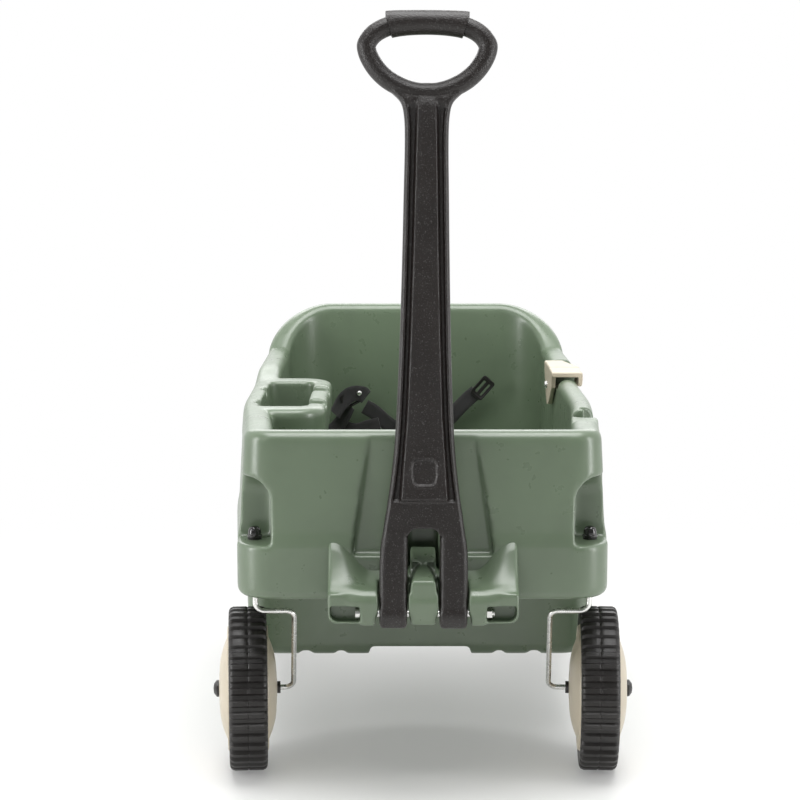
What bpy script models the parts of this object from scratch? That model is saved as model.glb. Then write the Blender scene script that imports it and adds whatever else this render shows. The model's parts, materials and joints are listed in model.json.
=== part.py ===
"""A moulded two-seat children's wagon with a forked pull handle, swivelling
front wheels, a side door with a swing latch and a moulded drinks tray.

Metres, +Z up.  -Y is the front (the handle end), +X is the door side.
The model is laid out from the front face (y = 0) and then moved back so that
the origin lies at the middle of the whole wagon's footprint, on the floor.
"""
import math

import bmesh
import bpy
from mathutils import Matrix, Vector

# ---- overall body ----
BODY_LENGTH = 0.950
FRONT_HALF_WIDTH = 0.222
REAR_HALF_WIDTH = 0.2435
FLARE_LENGTH = 0.36          # the sides widen from front to rear over this length
LIP_Z = 0.239                # underside of the outer lip
LEDGE_Z = 0.304              # top of the bumper ledge at the front corners
RIM_Z = 0.440                # rim height at the front and along the sides
REAR_SIDE_RISE = 0.013       # the side rims climb this much behind the door
REAR_CORNER_RISE = 0.065     # and the backrest stands this much above them
FRONT_CORNER_RADIUS = 0.045
REAR_CORNER_RADIUS = 0.110
RIM_WIDTH = 0.035
RIM_EDGE = 0.013
RIM_SET_BACK = 0.009         # the rim lies this much inside the bumper
SEAT_Z = 0.270
SEAT_WALL_INSET = 0.050      # outer outline to the foot of the inner wall

# ---- foot well ----
WELL_FRONT = 0.240
WELL_REAR = 0.620
WELL_SIDE_INSET = 0.0095     # the well's sides lie this far inside the body's
WELL_BOTTOM_Z = 0.108
WELL_FLOOR_Z = 0.124
WELL_RADIUS = 0.030

# ---- handle and hitch ----
PIVOT_Y = -0.040
PIVOT_Z = 0.2335
HANDLE_LEAN = math.radians(6.0)   # leans back on its stop
HANDLE_TILT = math.radians(0.4)   # and to the right, by the play in its bores
HANDLE_LENGTH = 0.700             # pivot to the top of the grip bar
SHAFT_FOOT = 0.205             # where the plain shaft starts, above its shoulders
NECK_HEIGHT = HANDLE_LENGTH - 0.143  # where it starts to widen into the grip
TINE_INNER = 0.0185
TINE_WIDTH = 0.0330
TINE_RADIUS = 0.0175
CROTCH_HEIGHT = 0.102             # pivot to the top of the gap between the tines
GRIP_LINE = ((0.0, 0.0142), (0.025, 0.0154), (0.045, 0.0190), (0.060, 0.0265),
             (0.0685, 0.0360), (0.0706, 0.0430), (0.067, 0.0550), (0.058, 0.0690),
             (0.045, 0.0810), (0.028, 0.0900), (0.012, 0.0945))   # across, below the top
GRIP_THICKNESS = 0.0222
GRIP_DEPTH = 0.0250
SLEEVE_REACH = 0.045              # half the sleeve's length
SLEEVE_THICKNESS = 0.0031
SLEEVE_GAP = 0.0013
HITCH_HALF_WIDTH = 0.1115
HITCH_TOP_Z = 0.3115
LUG_RADIUS = 0.0150
LUG_OUTER = 0.0735
BOLT_RADIUS = 0.0040

# ---- casters ----
STEM_X = 0.2020
STEM_Y = 0.050
TRAIL = 0.066
ROD_RADIUS = 0.0032
ROD_RUN_Z = 0.2150
ROD_INWARD = 0.047
WHEEL_OUTBOARD = {"left": 0.0097, "right": 0.0147}   # each slid along its rod
TOE_LEFT = math.radians(4.3)      # the wheels rest trailing slightly outwards
TOE_RIGHT = math.radians(3.2)
CAP_RADIUS = 0.0090

# ---- wheels ----
WHEEL_RADIUS = 0.1015
TYRE_WIDTH = 0.0470
TYRE_SEAT_RADIUS = 0.0800
HUB_WIDTH = 0.0720
REAR_AXLE_Y = 0.785
REAR_WHEEL_X = 0.2150
AXLE_BOSS_X = 0.150
AXLE_BOSS_WIDTH = 0.036

# ---- door and latch ----
DOOR_FRONT = 0.205
DOOR_REAR = 0.600
DOOR_BOTTOM_Z = 0.160        # where the door closes the foot well's side
DOOR_STEP_Z = 0.285          # and in front of the well
DOOR_STEP_Y = 0.265
DOOR_SWING = math.radians(110)
DOOR_GAP = 0.0030
DOOR_INNER_X = 0.168
HINGE_X = 0.2112
HINGE_BARREL = 0.0155
HINGE_PIN_RADIUS = 0.0030
DOOR_SET_BACK = 0.006        # the door's outer side, inside the body's
KNUCKLE_LOW_Z = 0.325
KNUCKLE_HIGH_Z = 0.375
BARREL_TOP_Z = 0.418
LATCH_FRONT = 0.525
LATCH_REAR = 0.678
LATCH_BOLT_Y = 0.622
LATCH_BOLT_Z = 0.4215
LATCH_LIFT = 0.018
LATCH_THICKNESS = 0.006
LATCH_PLATE_Z = 0.4435       # underside of the plate that crosses the rim
LATCH_BOLT_RADIUS = 0.0025
LATCH_LIP = 0.0135           # how far its outer edge hangs over the door

# ---- drinks tray ----
TRAY_FRONT = 0.205
TRAY_REAR = 0.560
TRAY_INNER_X = 0.1225
TRAY_BULGE = 0.001           # its outer side, inside the body's widest line
TRAY_DEPTH = 0.110
CUP_FRONT = 0.247
CUP_REAR = 0.508
CUP_INNER_X = 0.1480
CUP_OUTER_X = 0.2105
CUP_DEPTH = 0.092
SLOT_LENGTH = 0.046
TONGUE_LENGTH = 0.090
TONGUE_Y = 0.364

# ---- fits ----
RUN_GAP = 0.0015     # between pieces that move past each other
SEAT_GAP = 0.0003    # between pieces that touch
BORE_GAP = 0.0004    # a bore's radius over its shaft's
TINE_BORE_GAP = 0.0010  # the same on the handle, which sits slightly askew on its bolt

CENTRE_Y = (BODY_LENGTH + PIVOT_Y - TINE_RADIUS) / 2


# ------------------------------------------------------------------ helpers
def material(name, colour, roughness, metallic=0.0):
    mat = bpy.data.materials.new(name)
    mat.use_nodes = True
    shader = mat.node_tree.nodes["Principled BSDF"]
    shader.inputs["Base Color"].default_value = (*colour, 1.0)
    shader.inputs["Roughness"].default_value = roughness
    shader.inputs["Metallic"].default_value = metallic
    return mat


def add_mesh(name, bm, mat):
    """A mesh object from bm, with its faces turned outwards and shaded smooth."""
    bmesh.ops.recalc_face_normals(bm, faces=bm.faces)
    mesh = bpy.data.meshes.new(name)
    bm.to_mesh(mesh)
    bm.free()
    mesh.shade_smooth()
    mesh.set_sharp_from_angle(angle=math.radians(35))
    obj = bpy.data.objects.new(name, mesh)
    bpy.context.scene.collection.objects.link(obj)
    if mat:
        mesh.materials.append(mat)
    return obj


def loft(name, rings, mat, closed_path=False):
    """Skins rings of points; the ends are filled unless the path is closed."""
    bm = bmesh.new()
    rows = [[bm.verts.new(p) for p in ring] for ring in rings]
    count = len(rows[0])
    pairs = list(zip(rows, rows[1:]))
    if closed_path:
        pairs.append((rows[-1], rows[0]))
    for a, b in pairs:
        for i in range(count):
            j = (i + 1) % count
            bm.faces.new((a[i], a[j], b[j], b[i]))
    if not closed_path:
        bm.faces.new(reversed(rows[0]))
        bm.faces.new(rows[-1])
    return add_mesh(name, bm, mat)


def prism(name, outline, low, high, mat, axis="X", bevel=0.0, segments=2):
    """An outline of two coordinates, extruded along the third axis."""
    order = {"X": (2, 0, 1), "Y": (0, 2, 1), "Z": (0, 1, 2)}[axis]
    bm = bmesh.new()
    verts = []
    for a, b in outline:
        point = (a, b, low)
        verts.append(bm.verts.new([point[k] for k in order]))
    face = bm.faces.new(verts)
    grown = bmesh.ops.extrude_face_region(bm, geom=[face])
    step = Vector([(0.0, 0.0, high - low)[k] for k in order])
    moved = [g for g in grown["geom"] if isinstance(g, bmesh.types.BMVert)]
    bmesh.ops.translate(bm, verts=moved, vec=step)
    if bevel:
        bmesh.ops.bevel(bm, geom=list(bm.edges), offset=bevel, segments=segments,
                        profile=0.5, affect="EDGES", clamp_overlap=True)
    return add_mesh(name, bm, mat)


def box(name, low, high, mat=None, bevel=0.0, segments=2):
    outline = [(low[0], low[1]), (high[0], low[1]), (high[0], high[1]), (low[0], high[1])]
    return prism(name, outline, low[2], high[2], mat, "Z", bevel, segments)


def round_outline(low, high, radius, steps=4):
    """A rectangle with round corners, anticlockwise."""
    points = []
    corners = ((high[0], high[1], 0), (low[0], high[1], 90),
               (low[0], low[1], 180), (high[0], low[1], 270))
    for x, y, start in corners:
        cx = x - math.copysign(radius, x - (low[0] + high[0]) / 2)
        cy = y - math.copysign(radius, y - (low[1] + high[1]) / 2)
        for i in range(steps + 1):
            a = math.radians(start + 90 * i / steps)
            points.append((cx + radius * math.cos(a), cy + radius * math.sin(a)))
    return points


def lathe(name, profile, mat, axis="X", centre=(0, 0, 0), segments=32):
    """A solid of revolution from (radius, along) points; one on the axis is a single vertex."""
    turn = {"X": Matrix(((0, 0, 1), (1, 0, 0), (0, 1, 0))),
            "Y": Matrix(((0, 1, 0), (0, 0, 1), (1, 0, 0))),
            "Z": Matrix.Identity(3)}[axis]
    bm = bmesh.new()
    place = Vector(centre)
    rows = []
    for radius, along in profile:
        if radius < 1e-7:
            rows.append([bm.verts.new(place + turn @ Vector((0, 0, along)))])
            continue
        ring = []
        for i in range(segments):
            a = 2 * math.pi * (i + 0.5) / segments
            spot = Vector((radius * math.cos(a), radius * math.sin(a), along))
            ring.append(bm.verts.new(place + turn @ spot))
        rows.append(ring)
    pairs = list(zip(rows, rows[1:]))
    if len(rows[0]) > 1:
        pairs.append((rows[-1], rows[0]))
    for a, b in pairs:
        for i in range(segments):
            j = (i + 1) % segments
            if len(a) > 1 and len(b) > 1:
                bm.faces.new((a[i], a[j], b[j], b[i]))
            elif len(a) > 1:
                bm.faces.new((a[i], a[j], b[0]))
            elif len(b) > 1:
                bm.faces.new((a[0], b[j], b[i]))
    return add_mesh(name, bm, mat)


def rod(name, radius, low, high, mat, axis="X", centre=(0, 0, 0), segments=16):
    profile = [(0, low), (radius, low), (radius, high), (0, high)]
    return lathe(name, profile, mat, axis, centre, segments)


def bent_rod(name, corners, radius, bend, mat, sides=10, steps=5):
    """A round bar through corner points, with each corner bent to a radius."""
    points = [Vector(corners[0])]
    for before, corner, after in zip(corners, corners[1:], corners[2:]):
        corner = Vector(corner)
        into = (corner - Vector(before)).normalized()
        out = (Vector(after) - corner).normalized()
        angle = into.angle(out)
        reach = bend * math.tan(angle / 2)
        start = corner - into * reach
        inward = (out - into).normalized()
        middle = corner + inward * (bend / math.cos(angle / 2))
        arm = start - middle
        normal = into.cross(out).normalized()
        for i in range(steps + 1):
            points.append(middle + Matrix.Rotation(angle * i / steps, 3, normal) @ arm)
    points.append(Vector(corners[-1]))
    rings = []
    side = (points[1] - points[0]).orthogonal().normalized()
    for i, p in enumerate(points):
        ahead = points[min(i + 1, len(points) - 1)] - p
        behind = p - points[max(i - 1, 0)]
        along = (ahead.normalized() + behind.normalized()).normalized()
        side = (side - along * side.dot(along)).normalized()
        other = along.cross(side)
        rings.append([p + radius * (math.cos(a) * side + math.sin(a) * other)
                      for a in (2 * math.pi * k / sides for k in range(sides))])
    return loft(name, rings, mat)


def boolean(obj, tool, operation):
    """Adds a Boolean modifier; the tool is kept as a hidden guide."""
    tool.hide_render = True
    tool.display_type = "WIRE"
    mod = obj.modifiers.new(tool.name, "BOOLEAN")
    mod.operation = operation
    mod.solver = "EXACT"
    mod.object = tool


def cut(obj, tool):
    boolean(obj, tool, "DIFFERENCE")


def fuse(obj, tool):
    boolean(obj, tool, "UNION")


def both_sides(outline_x):
    """The X span on the right and the same span on the left."""
    low, high = outline_x
    return (("right", low, high), ("left", -high, -low))


def smooth_step(t):
    t = min(max(t, 0.0), 1.0)
    return t * t * (3 - 2 * t)


# ------------------------------------------------------------------ body
def side_x(y):
    """Half the body's width at its widest level, y behind the front face."""
    widen = (REAR_HALF_WIDTH - FRONT_HALF_WIDTH) * smooth_step(y / FLARE_LENGTH)
    return FRONT_HALF_WIDTH + widen


def side_rim_z(y):
    return RIM_Z + REAR_SIDE_RISE * smooth_step((y - 0.50) / 0.12)


def body_outline(inset):
    """Plan points (x, y, rise); rise runs from 0 on the sides to 1 on the back."""
    front, rear = inset, BODY_LENGTH - inset
    r_front = max(FRONT_CORNER_RADIUS - inset, 0.010)
    r_rear = max(REAR_CORNER_RADIUS - inset, 0.020)
    half = []
    front_x = side_x(front + r_front) - inset
    rear_x = side_x(rear - r_rear) - inset
    for i in range(4):
        half.append(((front_x - r_front) * i / 4, front, 0.0))
    for i in range(6):
        a = math.radians(90 * i / 6)
        half.append((front_x - r_front + r_front * math.sin(a),
                     front + r_front - r_front * math.cos(a), 0.0))
    side_start, side_end = front + r_front, rear - r_rear
    for i in range(14):
        y = side_start + (side_end - side_start) * i / 14
        half.append((side_x(y) - inset, y, 0.0))
    for i in range(10):
        a = math.radians(90 * i / 10)
        half.append((rear_x - r_rear + r_rear * math.cos(a),
                     rear - r_rear + r_rear * math.sin(a), math.sin(a)))
    for i in range(4):
        half.append(((rear_x - r_rear) * (1 - i / 4), rear, 1.0))
    half.append((0.0, rear, 1.0))
    mirrored = [(-x, y, rise) for x, y, rise in reversed(half[1:-1])]
    return half + mirrored


def well_outline(front, rear, inset, radius):
    """The foot well's plan, with as many points as the body's outline has."""
    half = []
    front_x = side_x(front + radius) - inset
    rear_x = side_x(rear - radius) - inset
    for i in range(4):
        half.append(((front_x - radius) * i / 4, front))
    for i in range(6):
        a = math.radians(90 * i / 6)
        half.append((front_x - radius + radius * math.sin(a),
                     front + radius - radius * math.cos(a)))
    for i in range(14):
        y = front + radius + (rear - front - 2 * radius) * i / 14
        half.append((side_x(y) - inset, y))
    for i in range(10):
        a = math.radians(90 * i / 10)
        half.append((rear_x - radius + radius * math.cos(a),
                     rear - radius + radius * math.sin(a)))
    for i in range(4):
        half.append(((rear_x - radius) * (1 - i / 4), rear))
    half.append((0.0, rear))
    return half + [(-x, y) for x, y in reversed(half[1:-1])]


def tub_rings(shrink):
    """Rings from the lip's underside, up, over the rim and down to the seats.

    The outer ones are moved in by shrink."""
    def level(inset, z):
        return [Vector((x, y, z)) for x, y, _ in body_outline(inset)]

    def rim(inset, below):
        return [Vector((x, y, side_rim_z(y) + REAR_CORNER_RISE * rise - below))
                for x, y, rise in body_outline(inset)]

    soft = RIM_EDGE * (1 - math.sqrt(0.5))
    inner = RIM_SET_BACK + RIM_WIDTH
    return [
        level(shrink + 0.0085, LIP_Z),
        level(shrink + 0.0025, LIP_Z + 0.0025),
        level(shrink, LIP_Z + 0.0085),
        level(shrink, LEDGE_Z),
        level(shrink + 0.003, LEDGE_Z + 0.016),
        rim(RIM_SET_BACK + shrink, RIM_EDGE),
        rim(RIM_SET_BACK + shrink + soft, soft),
        rim(RIM_SET_BACK + RIM_EDGE + shrink / 2, 0.0),
        rim(inner - RIM_EDGE, 0.0),
        rim(inner - soft, soft),
        rim(inner, RIM_EDGE),
        level(SEAT_WALL_INSET - 0.006, SEAT_Z + 0.018),
        level(SEAT_WALL_INSET, SEAT_Z + 0.005),
        level(SEAT_WALL_INSET + 0.006, SEAT_Z),
    ]


def well_rings(inward, radius, levels):
    """Rings of the foot well, each (further inward, height)."""
    return [[Vector((x, y, z)) for x, y in
             well_outline(WELL_FRONT + inward + more, WELL_REAR - inward - more,
                          WELL_SIDE_INSET + inward + more, radius)]
            for more, z in levels]


def tub(name, plastic, shrink=0.0):
    """The moulding before its fittings: a tub, the well below it and its cavity."""
    obj = loft(name, tub_rings(shrink), plastic)
    outside = ((0.018, WELL_BOTTOM_Z), (0.009, WELL_BOTTOM_Z + 0.004),
               (0.005, WELL_BOTTOM_Z + 0.014), (0.0, LIP_Z + 0.010))
    fuse(obj, loft(name + "_well_block", well_rings(0.0, WELL_RADIUS, outside), plastic))
    inside = ((0.012, WELL_FLOOR_Z), (0.004, WELL_FLOOR_Z + 0.004),
              (0.0, WELL_FLOOR_Z + 0.014), (-0.010, SEAT_Z - 0.006), (-0.014, SEAT_Z + 0.006))
    cavity = well_rings(SEAT_WALL_INSET + 0.012, WELL_RADIUS - 0.010, inside)
    cut(obj, loft(name + "_well_cavity", cavity, None))
    return obj


def door_blank(name, gap):
    """The door's block, or with gap 0 its opening's block, up past the rim.

    It is deeper beside the foot well than in front of it."""
    low, step = DOOR_BOTTOM_Z + gap, DOOR_STEP_Z + gap
    outline = [(DOOR_STEP_Y + gap, low), (DOOR_REAR - gap, low), (DOOR_REAR - gap, RIM_Z + 0.05),
               (DOOR_FRONT + gap, RIM_Z + 0.05), (DOOR_FRONT + gap, step), (DOOR_STEP_Y + gap, step)]
    return prism(name, outline, DOOR_INNER_X, REAR_HALF_WIDTH + 0.03, None, "X")


def hitch(plastic):
    """The moulded hitch: a wide sloping shelf with three lugs below it."""
    front = PIVOT_Y - LUG_RADIUS
    shelf = [(0.020, PIVOT_Z), (front + 0.006, PIVOT_Z - 0.003), (front, PIVOT_Z + 0.004),
             (front, PIVOT_Z + 0.014), (front + 0.006, PIVOT_Z + 0.028),
             (-0.026, HITCH_TOP_Z - 0.022), (-0.010, HITCH_TOP_Z - 0.006),
             (0.002, HITCH_TOP_Z), (0.020, HITCH_TOP_Z)]
    block = prism("hitch_block", shelf, -HITCH_HALF_WIDTH, HITCH_HALF_WIDTH, plastic)
    lug = [(0.012, LIP_Z + 0.004)]
    for i in range(9):
        a = math.radians(-80 - 100 * i / 8)
        lug.append((PIVOT_Y + LUG_RADIUS * math.cos(a), PIVOT_Z + LUG_RADIUS * math.sin(a)))
    lug.append((front, PIVOT_Z + 0.010))
    lug.append((0.012, PIVOT_Z + 0.020))
    lugs = prism("hitch_lugs", lug, -LUG_OUTER, LUG_OUTER, plastic)
    fuse(block, lugs)
    return block


def body(plastic):
    obj = tub("body", plastic)
    fuse(obj, hitch(plastic))
    # the shallow recess that the handle folds back into
    recess = [(-0.084, LIP_Z + 0.055), (0.084, LIP_Z + 0.055), (0.060, RIM_Z + 0.02),
              (-0.060, RIM_Z + 0.02)]
    cut(obj, prism("handle_recess", recess, -0.03, 0.011, None, "Y"))
    # a slot for each tine, open at the front, whose back wall is the handle's stop
    tine_back = PIVOT_Y + math.tan(HANDLE_LEAN) * (HITCH_TOP_Z - PIVOT_Z)
    stop_y = tine_back + TINE_RADIUS / math.cos(HANDLE_LEAN) + RUN_GAP / 2
    for side, low, high in both_sides((TINE_INNER - RUN_GAP, TINE_INNER + TINE_WIDTH + RUN_GAP)):
        cut(obj, box("tine_slot_" + side, (low, -0.09, LIP_Z - 0.06), (high, stop_y, RIM_Z)))
    # pockets for the bolt's head and nut
    for side, low, high in both_sides((LUG_OUTER + SEAT_GAP, HITCH_HALF_WIDTH - 0.010)):
        cut(obj, box("nut_pocket_" + side, (low, -0.09, PIVOT_Z - 0.03),
                     (high, PIVOT_Y + 0.018, PIVOT_Z + 0.011)))
    cut(obj, rod("bolt_bore", BOLT_RADIUS + BORE_GAP, -LUG_OUTER - 0.002, LUG_OUTER + 0.002,
                 None, "X", (0, PIVOT_Y, PIVOT_Z), 16))
    for side, low, high in both_sides((STEM_X - 0.022, FRONT_HALF_WIDTH + 0.05)):
        notch = round_outline((low, -0.06), (high, STEM_Y + 0.017), 0.008, 2)
        cut(obj, prism("corner_notch_" + side, notch, LEDGE_Z, LEDGE_Z + 0.076, None, "Z"))
        stem_x = STEM_X if side == "right" else -STEM_X
        cut(obj, rod("stem_bore_" + side, ROD_RADIUS + 0.0020, LIP_Z - 0.05, LEDGE_Z + 0.01,
                     None, "Z", (stem_x, STEM_Y, 0), 16))
        bore_x = AXLE_BOSS_X if side == "right" else -AXLE_BOSS_X
        boss = [(REAR_AXLE_Y - 0.034, LIP_Z + 0.006), (REAR_AXLE_Y - 0.018, WHEEL_RADIUS - 0.010),
                (REAR_AXLE_Y - 0.010, WHEEL_RADIUS - 0.018),
                (REAR_AXLE_Y + 0.010, WHEEL_RADIUS - 0.018),
                (REAR_AXLE_Y + 0.018, WHEEL_RADIUS - 0.010), (REAR_AXLE_Y + 0.034, LIP_Z + 0.006)]
        fuse(obj, prism("axle_boss_" + side, boss, bore_x - AXLE_BOSS_WIDTH / 2,
                        bore_x + AXLE_BOSS_WIDTH / 2, plastic))
        cut(obj, rod("axle_bore_" + side, ROD_RADIUS + BORE_GAP, bore_x - 0.03, bore_x + 0.03,
                     None, "X", (0, REAR_AXLE_Y, WHEEL_RADIUS), 16))
    drinks_tray(obj, plastic)
    door_opening(obj, plastic)
    well_channels(obj)
    cut(obj, rod("latch_bore", LATCH_BOLT_RADIUS + BORE_GAP, latch_inner_x() - 0.010,
                 latch_inner_x() + 0.022, None, "X", (0, LATCH_BOLT_Y, LATCH_BOLT_Z), 12))
    # the latch lies in a step in the rim, and the rim dips in front of the door
    cut(obj, box("latch_seat", (DOOR_INNER_X, DOOR_REAR - 0.01, LATCH_PLATE_Z - RUN_GAP),
                 (REAR_HALF_WIDTH + 0.03, LATCH_REAR + RUN_GAP, RIM_Z + 0.05)))
    dip = [(DOOR_FRONT - 0.095, RIM_Z + 0.0005), (DOOR_FRONT - 0.070, RIM_Z - 0.0065),
           (DOOR_FRONT + 0.010, RIM_Z - 0.0075), (DOOR_FRONT + 0.010, RIM_Z + 0.05),
           (DOOR_FRONT - 0.095, RIM_Z + 0.05)]
    cut(obj, prism("rim_dip", dip, DOOR_INNER_X - 0.01, REAR_HALF_WIDTH + 0.03, None, "X"))
    return obj


def drinks_tray(obj, plastic):
    """A shelf inside the left rim with a long cup well and mug-handle slots."""
    outer = -side_x(TRAY_FRONT) + TRAY_BULGE
    rings = []
    rows = ((TRAY_DEPTH, 0.016), (0.010, 0.0), (0.003, 0.003), (0.0, 0.010))
    for below, inset in rows:
        ring = round_outline((outer + inset, TRAY_FRONT + inset),
                             (-TRAY_INNER_X - inset, TRAY_REAR - inset), 0.040 - inset, 5)
        rings.append([Vector((x, y, RIM_Z - below)) for x, y in ring])
    fuse(obj, loft("tray_block", rings, plastic))
    cup = round_outline((-CUP_OUTER_X, CUP_FRONT), (-CUP_INNER_X, CUP_REAR), 0.012, 3)
    cut(obj, prism("cup_well", cup, RIM_Z - CUP_DEPTH, RIM_Z + 0.03, None, "Z"))
    for name, start in (("front", TONGUE_Y - TONGUE_LENGTH / 2 - SLOT_LENGTH),
                        ("rear", TONGUE_Y + TONGUE_LENGTH / 2)):
        slot = round_outline((-CUP_OUTER_X - 0.004, start),
                             (-TRAY_INNER_X + 0.02, start + SLOT_LENGTH), 0.010, 3)
        cut(obj, prism("mug_slot_" + name, slot, RIM_Z - 0.010, RIM_Z + 0.03, None, "Z"))


def door_opening(obj, plastic):
    """The opening in the right wall, with the body's half of the hinge."""
    cut(obj, door_blank("door_opening", 0.0))
    hinge = (HINGE_X, DOOR_FRONT, 0)
    for name, low, high in (("low", DOOR_STEP_Z, KNUCKLE_LOW_Z),
                            ("high", KNUCKLE_HIGH_Z, RIM_Z + 0.05)):
        cut(obj, rod("hinge_socket_" + name, HINGE_BARREL + RUN_GAP, low, high, None, "Z",
                     hinge, 24))
    fuse(obj, rod("body_knuckle", HINGE_BARREL - RUN_GAP, KNUCKLE_LOW_Z + 0.0005,
                  KNUCKLE_HIGH_Z - 0.0005, plastic, "Z", hinge, 24))
    cut(obj, rod("hinge_bore", HINGE_PIN_RADIUS + BORE_GAP, DOOR_STEP_Z - 0.014,
                 KNUCKLE_HIGH_Z + 0.01, None, "Z", hinge, 12))


def well_channels(obj):
    """Grooves along the underside of the foot well."""
    front, rear = WELL_FRONT - 0.02, WELL_REAR + 0.02
    for k, (x, half, deep) in enumerate(((0.0, 0.065, 0.012), (-0.1505, 0.0068, 0.006),
                                         (-0.104, 0.0058, 0.006), (0.104, 0.0058, 0.006),
                                         (0.1505, 0.0068, 0.006))):
        groove = [(x - half - 0.003, WELL_BOTTOM_Z - 0.01), (x + half + 0.003, WELL_BOTTOM_Z - 0.01),
                  (x + half, WELL_BOTTOM_Z + deep), (x - half, WELL_BOTTOM_Z + deep)]
        cut(obj, prism(f"well_channel_{k}", groove, front, rear, None, "Y"))


# ------------------------------------------------------------------ door, latch
def door(plastic):
    obj = tub("door", plastic, DOOR_SET_BACK)
    boolean(obj, door_blank("door_block", DOOR_GAP), "INTERSECT")
    hinge = (HINGE_X, DOOR_FRONT, 0)
    # the rear end is curved about the hinge, so that it swings clear of the body
    boolean(obj, rod("door_sweep", DOOR_REAR - DOOR_GAP - DOOR_FRONT, DOOR_BOTTOM_Z - 0.02,
                     RIM_Z + 0.06, None, "Z", hinge, 160), "INTERSECT")
    # the lower part's front end is hollowed about the hinge, for the same reason
    outer = side_x(DOOR_STEP_Y) - HINGE_X
    front_clearance = math.hypot(outer, DOOR_STEP_Y - DOOR_FRONT) + RUN_GAP
    cut(obj, rod("door_front_sweep", front_clearance, DOOR_BOTTOM_Z - 0.02,
                 DOOR_STEP_Z + DOOR_GAP, None, "Z", hinge, 96))
    # and the outer side is cut back behind the hinge, to clear the body when open
    across, back = math.cos(DOOR_SWING), math.sin(DOOR_SWING)
    clear = side_x(DOOR_FRONT) - HINGE_X + SEAT_GAP
    far = 0.060
    relief = [(0.0, 0.0), (0.0, -0.03), (far, -0.03), (far, (clear - across * far) / back),
              (clear * across, clear * back)]
    relief = [(HINGE_X + x, DOOR_FRONT + y) for x, y in relief]
    cut(obj, prism("hinge_relief", relief, DOOR_BOTTOM_Z - 0.01, RIM_Z + 0.06, None, "Z"))
    fuse(obj, rod("door_barrel", HINGE_BARREL, DOOR_STEP_Z + DOOR_GAP, BARREL_TOP_Z, plastic,
                  "Z", hinge, 24))
    cut(obj, rod("knuckle_gap", HINGE_BARREL + RUN_GAP, KNUCKLE_LOW_Z - RUN_GAP,
                 KNUCKLE_HIGH_Z + RUN_GAP, None, "Z", hinge, 24))
    cut(obj, rod("door_bore", HINGE_PIN_RADIUS + BORE_GAP, DOOR_STEP_Z - 0.01,
                 BARREL_TOP_Z + 0.01, None, "Z", hinge, 12))
    # room for the latch: the rear end of the door's top is stepped down
    cut(obj, box("latch_step", (DOOR_INNER_X - 0.05, LATCH_FRONT - 0.004, RIM_Z - 0.013),
                 (REAR_HALF_WIDTH + 0.05, DOOR_REAR + 0.02, RIM_Z + 0.06)))
    return obj


def latch_inner_x():
    """The inner face of the right wall beside the latch."""
    return REAR_HALF_WIDTH - RIM_SET_BACK - RIM_WIDTH


def latch(tan):
    """A saddle over the rim, which lifts until the foot of its slot meets its bolt."""
    inner = latch_inner_x() - RUN_GAP
    outer = REAR_HALF_WIDTH - RIM_SET_BACK - DOOR_SET_BACK + RUN_GAP
    plate = box("door_latch", (inner - LATCH_THICKNESS, LATCH_FRONT, LATCH_PLATE_Z),
                (outer + LATCH_THICKNESS, LATCH_REAR, LATCH_PLATE_Z + 0.009), tan, 0.002, 1)
    top = LATCH_PLATE_Z + 0.003
    leg = [(LATCH_FRONT + 0.008, top), (LATCH_FRONT + 0.014, top - 0.020),
           (LATCH_BOLT_Y - 0.048, top - 0.038), (LATCH_BOLT_Y - 0.022, top - 0.051),
           (LATCH_BOLT_Y, top - 0.054), (LATCH_BOLT_Y + 0.014, top - 0.048),
           (LATCH_BOLT_Y + 0.034, top - 0.028), (LATCH_REAR - 0.008, top - 0.012),
           (LATCH_REAR - 0.004, top)]
    fuse(plate, prism("latch_leg", leg, inner - LATCH_THICKNESS, inner, tan, "X"))
    lip = box("latch_lip", (outer, LATCH_FRONT, LATCH_PLATE_Z - LATCH_LIP),
              (outer + LATCH_THICKNESS, LATCH_FRONT + 0.064, top), tan)
    fuse(plate, lip)
    wide = LATCH_BOLT_RADIUS + BORE_GAP
    cut(plate, box("latch_slot", (inner - 0.02, LATCH_BOLT_Y - wide,
                                  LATCH_BOLT_Z - LATCH_LIFT - wide),
                   (inner + 0.01, LATCH_BOLT_Y + wide, LATCH_BOLT_Z + wide)))
    return plate


# ------------------------------------------------------------------ handle
def along_shaft(share):
    """The height of a point of the plain shaft, share of the way up it."""
    return SHAFT_FOOT + share * (NECK_HEIGHT - SHAFT_FOOT)


def half_width_at(height):
    """Half the shaft's width, height above the pivot."""
    table = ((0.0, TINE_INNER + TINE_WIDTH), (0.070, 0.0510), (0.135, 0.0418),
             (SHAFT_FOOT, 0.0344), (along_shaft(0.50), 0.0285), (NECK_HEIGHT, 0.0254),
             (NECK_HEIGHT + 0.026, 0.0270), (NECK_HEIGHT + 0.038, 0.0315),
             (NECK_HEIGHT + 0.049, 0.0420))
    for (h0, w0), (h1, w1) in zip(table, table[1:]):
        if height <= h1:
            return w0 + (w1 - w0) * (height - h0) / (h1 - h0)
    return table[-1][1]


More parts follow.
